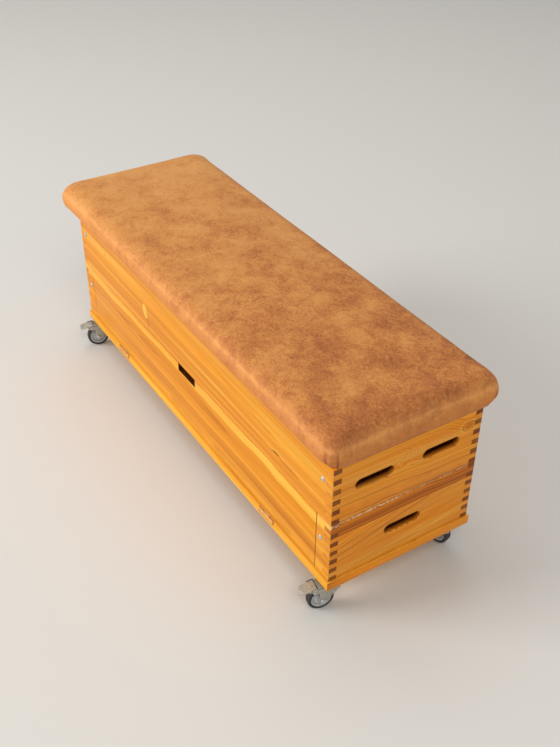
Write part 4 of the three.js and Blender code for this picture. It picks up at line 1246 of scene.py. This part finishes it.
def sideBolt(nodeName, body):
    low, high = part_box(nodeName)
    middle = (low + high) / 2 / mm
    outward = 1 if middle.y > 0 else -1
    look = boltLook
    gap, shank, length, edge = (look[key] for key in ("gap", "shank", "length", "domeEdge"))
    dome = [(0, look["domeHeight"])]
    for step in range(1, look["domeSteps"] + 1):
        angle = quarterTurn * step / look["domeSteps"]
        height = edge + (look["domeHeight"] - edge) * math.cos(angle)
        dome.append((look["domeRadius"] * math.sin(angle), height))
    dome += [(look["domeRadius"], gap), (shank, gap), (shank, -length), (0, -length)]
    head = spunBody(dome, "Y", 32)
    nut = bmesh.new()
    bmesh.ops.create_cone(nut, cap_ends=True, segments=6, radius1=look["nutRadius"] * mm,
                          radius2=look["nutRadius"] * mm, depth=look["nutHeight"] * mm)
    bmesh.ops.transform(nut, matrix=Matrix.Rotation(quarterTurn, 4, "X"), verts=nut.verts)
    bmesh.ops.translate(nut, vec=(0, -(length + look["nutHeight"] / 2) * mm, 0), verts=nut.verts)
    mesh = mergeInto(head, nut)
    if outward < 0:
        bmesh.ops.transform(mesh, matrix=Matrix.Rotation(math.pi, 4, "Z"), verts=mesh.verts)
    bmesh.ops.translate(mesh, vec=(middle.x * mm, sideFaces[outward], middle.z * mm), verts=mesh.verts)
    piece = newPiece(camelName(nodeName), mesh, "boltHead")
    bevelPiece(piece, look["ease"], 2, 50)
    shadeByAngle(piece, 40)
    settle(piece, body, "zinc", nodeName)


for corner in corners:
    sideBolt("upper_bolt_" + corner, "top_section")
    sideBolt("lower_bolt_" + corner, "lower_section")
print("bolts made")

# Butt hinges of the flap, brass-plated
hingeLook = {"ease": 0.35}


def hingeLeaf(nodeName, body):
    mesh = meshFromNode(nodeName)
    piece = newPiece(camelName(nodeName), mesh, "brass")
    bevelPiece(piece, hingeLook["ease"], 2, 50)
    shadeByAngle(piece, 45)
    settle(piece, body, "brass", nodeName)


for side in ("left", "right"):
    hingeLeaf(side + "_hinge_base_leaf", "lower_section")
    hingeLeaf(side + "_hinge_flap_leaf", "flap")
    hingeLeaf(side + "_hinge_pin", "lower_section")
print("hinges made")

# Castors, drawn round their kingpin with the wheel trailing along -Y, in millimetres
castorLook = {
    "height": 100.0,
    "radius": 37.5,
    "trail": 28.0,
    "tyreInner": 29.5,
    "tyreHalf": 12.0,
    "forkInner": 33.5,
    "forkWall": 2.5,
    "crownBottom": 82.0,
    "crownTop": 85.0,
    "crownHalf": 21.0,
    "cupRadius": 23.0,
    "cupTop": 92.7,
    "eye": 10.0,
    "plateHalfX": 34.0,
    "plateHalfY": 30.0,
    "plateThickness": 3.0,
    "raceRadius": 25.0,
    "kingpin": 7.0,
    "rivet": 11.0,
    "axle": 4.0,
    "axleHead": 6.6,
    "axleHeadHeight": 3.4,
    "brakeReach": 22.0,
    "brakeDrop": 24.0,
    "brakeEye": 6.0,
    "brakeArm": 12.0,
    "pedalLength": 44.0,
    "pedalWidth": 34.0,
    "pedalThickness": 2.5,
    "pedalSlope": 11.0,
    "pedalRise": 9.5,
    "pedalStart": 6.0,
    "guardGap": 4.2,
    "guardSide": 3.6,
    "guardLength": 19.0,
    "guardBend": 3.5,
    "guard": {"inset": 0.0, "wall": 1.2, "low": -1.5, "high": 3.4},
    "liner": {"inset": 1.3, "wall": 1.0, "low": -1.5, "high": 3.0},
    "ear": 2.4,
    "earRadius": 5.0,
    "shoe": {"front": -11.0, "back": -4.0, "bottom": -8.5, "width": 22.0},
    "pin": {"radius": 2.0, "head": 3.2, "face": 2.6, "height": 0.8},
    "ridges": {"count": 4, "first": 4.5, "apart": 4.2, "half": 0.9, "proud": 1.3},
    "screwInset": 8.0,
    "screwOutline": [(0, 92.9), (2.2, 93.3), (3.6, 94.6), (3.8, 96.8), (0, 96.8)],
    "clearance": 0.2,
}


# a castor stands at its swivel joint, turned by its roll joint's axis
def castorPlace(corner):
    joints = {joint["name"]: joint for joint in frame["joints"]}
    rollAxis = joints["roll_" + corner]["axis"]
    x, y, _ = joints["swivel_" + corner]["pos_m"]
    turn = Matrix.Rotation(math.atan2(rollAxis[1], rollAxis[0]), 4, "Z")
    return Matrix.Translation((x, y, 0)) @ turn


# the brake pin's place in the castor, in millimetres
def brakePinPlace():
    return -castorLook["trail"] - castorLook["brakeReach"], castorLook["height"] - castorLook["brakeDrop"]


# brings what is drawn round the brake pin to its place in the castor
def toBrakePin(mesh):
    pinY, pinZ = brakePinPlace()
    bmesh.ops.translate(mesh, vec=(0, pinY * mm, pinZ * mm), verts=mesh.verts)
    return mesh


# lifts the pedal's plate from its heel's frame to its slope over the pin
def pedalTilt():
    lift = Matrix.Translation((0, castorLook["pedalStart"] * mm, castorLook["pedalRise"] * mm))
    return lift @ Matrix.Rotation(math.radians(castorLook["pedalSlope"]), 4, "X")


def mirroredOutline(points):
    return points + [(radius, -place) for radius, place in points[::-1]]


# a piece stands in for the node of its name, where there is one
def castorPiece(name, mesh, surface, place, body, slotName, ease=0.0):
    bmesh.ops.transform(mesh, matrix=place, verts=mesh.verts)
    piece = newPiece(camelName(name), mesh, surface)
    if ease:
        bevelPiece(piece, ease)
    shadeByAngle(piece, 38)
    settle(piece, body, slotName, *(node for node in frame["nodes"] if node == name))


def castorTyre():
    look = castorLook
    half = look["tyreHalf"]
    outer = look["radius"]
    points = [(look["tyreInner"], -half + 1), (look["tyreInner"] + 1.2, -half)]
    for angle in (math.radians(degrees) for degrees in range(0, 76, 15)):
        points.append((outer - 5 + 4.6 * math.sin(angle), -half + 5 - 5 * math.cos(angle)))
    points.append((outer, -half + 6.5))
    mouldLine = [(outer, -0.5), (outer - 0.15, 0), (outer, 0.5)]
    mirrored = [(radius, -place) for radius, place in points[::-1]]
    return spunBody(points + mouldLine + mirrored, "X", 96)


def castorWheel():
    look = castorLook
    rimOuter = look["tyreInner"] - 0.3
    hub = [(4.3, 15.0), (9.6, 15.0), (10.6, 14.2), (11.0, 10.0), (12.4, 8.6)]
    disc = [(19.0, 8.0), (20.2, 8.4), (20.8, 8.0), (21.2, 4.2), (23.4, 4.2), (23.8, 8.6)]
    rim = [(24.8, 10.2), (26.0, 10.6), (rimOuter - 0.8, 10.6), (rimOuter, 9.8)]
    return spunBody(mirroredOutline(hub + disc + rim), "X", 96)


def forkLeg(braked):
    look = castorLook
    half = look["crownHalf"]
    trail = -look["trail"]
    points = [(half - 4, look["crownTop"]), (half, look["crownTop"] - 4),
              (half, look["crownBottom"] - look["eye"])]
    points += arcPoints((trail, look["radius"]), look["eye"], -40, -165, 12)
    if braked:
        pinY, pinZ = brakePinPlace()
        points.append((trail - look["eye"] + 1.5, pinZ - look["brakeArm"] / 2 - 2))
        points.append((pinY + look["brakeEye"] - 2, pinZ - look["brakeArm"] / 2))
        points += arcPoints((pinY, pinZ), look["brakeEye"], -90, -270, 10)
    else:
        points.append((-half, look["crownBottom"]))
    points.append((-half, look["crownTop"]))
    return points


def unionOf(name, meshes):
    first = newPiece(name, meshes[0])
    for mesh in meshes[1:]:
        other = newPiece("joinedIn", mesh)
        union = first.modifiers.new("join", "BOOLEAN")
        union.operation = "UNION"
        union.solver = "EXACT"
        union.object = other
        applyModifiers(first)
        bpy.data.objects.remove(other)
    joined = bmesh.new()
    joined.from_mesh(first.data)
    bpy.data.objects.remove(first)
    return joined


def castorFork(braked):
    look = castorLook
    outer = look["forkInner"] / 2 + look["forkWall"]
    starts = (-outer, outer - look["forkWall"])
    legs = [sheetBody(forkLeg(braked), start, look["forkWall"]) for start in starts]
    crown = blockBody((-outer + 0.5, -look["crownHalf"], look["crownBottom"]),
                      (outer - 0.5, look["crownHalf"] - 0.01, look["crownTop"] - 0.01))
    cup = spunBody([(7.3, look["crownBottom"] + 1), (look["cupRadius"], look["crownBottom"] + 1),
                    (look["cupRadius"], look["cupTop"] - 2.5), (look["cupRadius"] - 2.5, look["cupTop"]),
                    (7.3, look["cupTop"])], "Z", 64)
    return unionOf("forkShape", [legs[0], crown, legs[1], cup])


def castorPlate():
    look = castorLook
    top = look["height"] - look["clearance"]
    bottom = look["height"] - look["plateThickness"]
    plate = blockBody((-look["plateHalfX"], -look["plateHalfY"], bottom),
                      (look["plateHalfX"], look["plateHalfY"], top))
    upright = [e for e in plate.edges if abs((e.verts[1].co - e.verts[0].co).z) > 1 * mm]
    bmesh.ops.bevel(plate, geom=upright, offset=8 * mm, segments=6, profile=0.5, affect="EDGES", material=-1)
    rivetTop = look["crownBottom"] - 0.3
    race = look["raceRadius"]
    spindle = spunBody([
        (0, rivetTop - 3), (look["rivet"] - 3, rivetTop - 3), (look["rivet"], rivetTop - 1.5),
        (look["rivet"], rivetTop), (look["kingpin"], rivetTop), (look["kingpin"], bottom - 4),
        (race - 3, bottom - 4), (race, bottom - 2), (race + 0.5, bottom + 0.5), (0, bottom + 0.5)], "Z", 64)
    return unionOf("plateShape", [plate, spindle])


def plateScrews():
    heads = bmesh.new()
    x, y = ((castorLook[side] - castorLook["screwInset"]) * mm for side in ("plateHalfX", "plateHalfY"))
    for signX, signY in ((-1, -1), (-1, 1), (1, -1), (1, 1)):
        head = spunBody(castorLook["screwOutline"], "Z", 24)
        bmesh.ops.translate(head, vec=(signX * x, signY * y, 0), verts=head.verts)
        mergeInto(heads, head)
    return heads


def castorAxle():
    look = castorLook
    grip = look["forkInner"] / 2 + look["forkWall"] + look["clearance"]
    head = look["axleHead"]
    tip = grip + look["axleHeadHeight"]
    half = [(0, -tip), (head - 2.2, -tip), (head - 0.8, -tip + 0.7), (head, -tip + 1.8), (head, -grip),
            (look["axle"], -grip)]
    return spunBody(mirroredOutline(half), "X", 48)


# height of the pedal plate's lower face at a place along it, with a little overlap
def pedalUnderside(y):
    fall = (castorLook["pedalStart"] - y) * math.tan(math.radians(castorLook["pedalSlope"]))
    return castorLook["pedalRise"] - fall + 0.6


def pedalBody():
    look = castorLook
    half = look["pedalWidth"] / 2
    length = look["pedalLength"]
    plate = blockBody((-half, -length, 0), (half, 0, look["pedalThickness"]))
    tipEdges = [e for e in plate.edges if abs((e.verts[1].co - e.verts[0].co).z) > 1 * mm
                and e.verts[0].co.y < -1 * mm]
    bmesh.ops.bevel(plate, geom=tipEdges, offset=9 * mm, segments=6, profile=0.5, affect="EDGES", material=-1)
    ridge = look["ridges"]
    top = look["pedalThickness"]
    ridges = []
    for step in range(ridge["count"]):
        y = -length + ridge["first"] + ridge["apart"] * step
        reach = half - (4.5 if step == 0 else 1.5)
        ridges.append(blockBody((-reach, y - ridge["half"], top - 0.4),
                                (reach, y + ridge["half"], top + ridge["proud"])))
    lip = blockBody((-half + 9, -length, -4), (half - 9, -length + 2.5, 0.4))
    shape = unionOf("pedalShape", [plate, lip, *ridges])
    bmesh.ops.transform(shape, matrix=pedalTilt(), verts=shape.verts)
    radius = look["earRadius"]
    earOuter = look["forkInner"] / 2 - 0.3
    earPoints = arcPoints((0, 0), radius, 180, 360, 12) + [(y, pedalUnderside(y)) for y in (radius, -radius)]
    ears = [sheetBody(earPoints, x, look["ear"]) for x in (earOuter - look["ear"], -earOuter)]
    shoe = look["shoe"]
    front, back, bottom = (shoe[key] for key in ("front", "back", "bottom"))
    shoePoints = [(front, bottom), (back, bottom)] + [(y, pedalUnderside(y)) for y in (back, front)]
    block = sheetBody(shoePoints, -shoe["width"] / 2, shoe["width"])
    return toBrakePin(unionOf("pedalWhole", [shape, *ears, block]))


# the fixed guard round the pedal's heel: a bent steel strip; the same shape, drawn smaller in black, lies
# inside it as painted shadow in the gap round the pedal
def pedalGuard(strip):
    look = castorLook
    inset, low, high = (strip[key] for key in ("inset", "low", "high"))
    back = look["pedalStart"] + look["guardGap"] - inset
    half = look["pedalWidth"] / 2 + look["guardSide"] - inset
    front = back - look["guardLength"]
    bend = look["guardBend"]
    mesh = bmesh.new()
    run = [(-half, front), (-half, back - bend), (-half + bend, back)]
    run += [(-x, y) for x, y in run[::-1]]
    verts = [mesh.verts.new((x * mm, y * mm, low * mm)) for x, y in run]
    edges = [mesh.edges.new(pair) for pair in zip(verts, verts[1:])]
    raised = bmesh.ops.extrude_edge_only(mesh, edges=edges)["geom"]
    bmesh.ops.translate(mesh, vec=(0, 0, (high - low) * mm), verts=vertsOf(raised))
    bmesh.ops.recalc_face_normals(mesh, faces=mesh.faces)
    bmesh.ops.solidify(mesh, geom=mesh.faces[:], thickness=strip["wall"] * mm)
    bmesh.ops.recalc_face_normals(mesh, faces=mesh.faces)
    home = Matrix.Translation((0, -look["pedalStart"] * mm, 0))
    bmesh.ops.transform(mesh, matrix=pedalTilt() @ home, verts=mesh.verts)
    return toBrakePin(mesh)


# tabs that hold the guard to the fork's sides
def guardTabs():
    look = castorLook
    pinY, pinZ = brakePinPlace()
    outer = look["forkInner"] / 2 + look["forkWall"]
    reach = look["pedalWidth"] / 2 + look["guardSide"]
    tabs = [blockBody((low, pinY + 1.5, pinZ - 0.5), (high, pinY + 8.5, pinZ + 10)) for low, high in
            ((-reach, -outer - 0.1), (outer + 0.1, reach))]
    back = pinY + look["pedalStart"] + look["guardGap"]
    bridge = blockBody((-reach + 3, back - 0.5, look["crownTop"] + look["clearance"]),
                       (reach - 3, -look["crownHalf"] + 2, look["crownTop"] + 1.6))
    return mergeInto(bmesh.new(), *tabs, bridge)


def brakePin():
    pin = castorLook["pin"]
    reach = castorLook["forkInner"] / 2 + castorLook["forkWall"]
    end = reach + pin["height"]
    half = [(0, -end), (pin["face"], -end), (pin["head"], -reach), (pin["radius"], -reach)]
    return toBrakePin(spunBody(mirroredOutline(half), "X", 24))


for corner in corners:
    place = castorPlace(corner)
    wheelPlace = place @ Matrix.Translation((0, -castorLook["trail"] * mm, castorLook["radius"] * mm))
    braked = corner.startswith("front")
    fork, wheel = "fork_" + corner, "wheel_" + corner
    castorPiece("castor_plate_" + corner, castorPlate(), "zinc", place, "lower_section", "zinc", 0.4)
    castorPiece("castor_screws_" + corner, plateScrews(), "boltHead", place, "lower_section", "zinc")
    castorPiece("castor_fork_" + corner, castorFork(braked), "zinc", place, fork, "zinc", 0.7)
    castorPiece("castor_axle_" + corner, castorAxle(), "boltHead", wheelPlace, fork, "zinc")
    castorPiece("castor_wheel_" + corner, castorWheel(), "wheelCore", wheelPlace, wheel, "wheel_plastic")
    castorPiece("castor_tyre_" + corner, castorTyre(), "tyre", wheelPlace, wheel, "tyre_rubber")
    if braked:
        guard = mergeInto(pedalGuard(castorLook["guard"]), guardTabs())
        # black strip inside the guard: painted shadow in the gap round the pedal
        liner = pedalGuard(castorLook["liner"])
        castorPiece("brake_pin_" + corner, brakePin(), "boltHead", place, fork, "zinc")
        castorPiece("brake_pedal_" + corner, pedalBody(), "zinc", place, "pedal_" + corner, "zinc", 0.5)
        castorPiece("brake_guard_" + corner, guard, "zinc", place, fork, "zinc", 0.3)
        castorPiece("brake_liner_" + corner, liner, "brakeLiner", place, fork, "wheel_plastic")
print("castors made")

# plain pale floor, soft studio light
stageLook = {
    "floor": "#DCD9D3",
    "floorSize": 14.0,
    "world": "#F4F3F0",
    "worldStrength": 0.36,
    "aim": (0, 0, 0.3),
    "lamps": [
        {"name": "key", "place": (-3.6, -7.6, 4.2), "size": 4.5, "power": 550.0},
        {"name": "fill", "place": (5.2, -1.8, 6.4), "size": 3.6, "power": 190.0},
        {"name": "overhead", "place": (-2.5, 1.0, 7.0), "size": 6.0, "power": 150.0},
    ],
}


def makeStage():
    mesh = bmesh.new()
    bmesh.ops.create_grid(mesh, x_segments=2, y_segments=2, size=stageLook["floorSize"])
    data = bpy.data.meshes.new("floor")
    mesh.to_mesh(data)
    mesh.free()
    floor = bpy.data.objects.new("floor", data)
    scene.collection.objects.link(floor)
    material, tree, shader = newMaterial("mattFloor", Roughness=0.85)
    shader.inputs["Base Color"].default_value = toLinear(stageLook["floor"])
    data.materials.append(material)
    for lamp in stageLook["lamps"]:
        light = bpy.data.lights.new(lamp["name"], "AREA")
        light.energy = lamp["power"]
        light.size = lamp["size"]
        thing = bpy.data.objects.new(lamp["name"], light)
        scene.collection.objects.link(thing)
        thing.location = lamp["place"]
        aim = Vector(stageLook["aim"]) - Vector(lamp["place"])
        thing.rotation_mode = "QUATERNION"
        thing.rotation_quaternion = aim.to_track_quat("-Z", "Y")
    world = bpy.data.worlds.new("studio")
    world.use_nodes = True
    background = world.node_tree.nodes["Background"]
    background.inputs["Color"].default_value = toLinear(stageLook["world"])
    background.inputs["Strength"].default_value = stageLook["worldStrength"]
    scene.world = world


makeStage()
print("stage made")
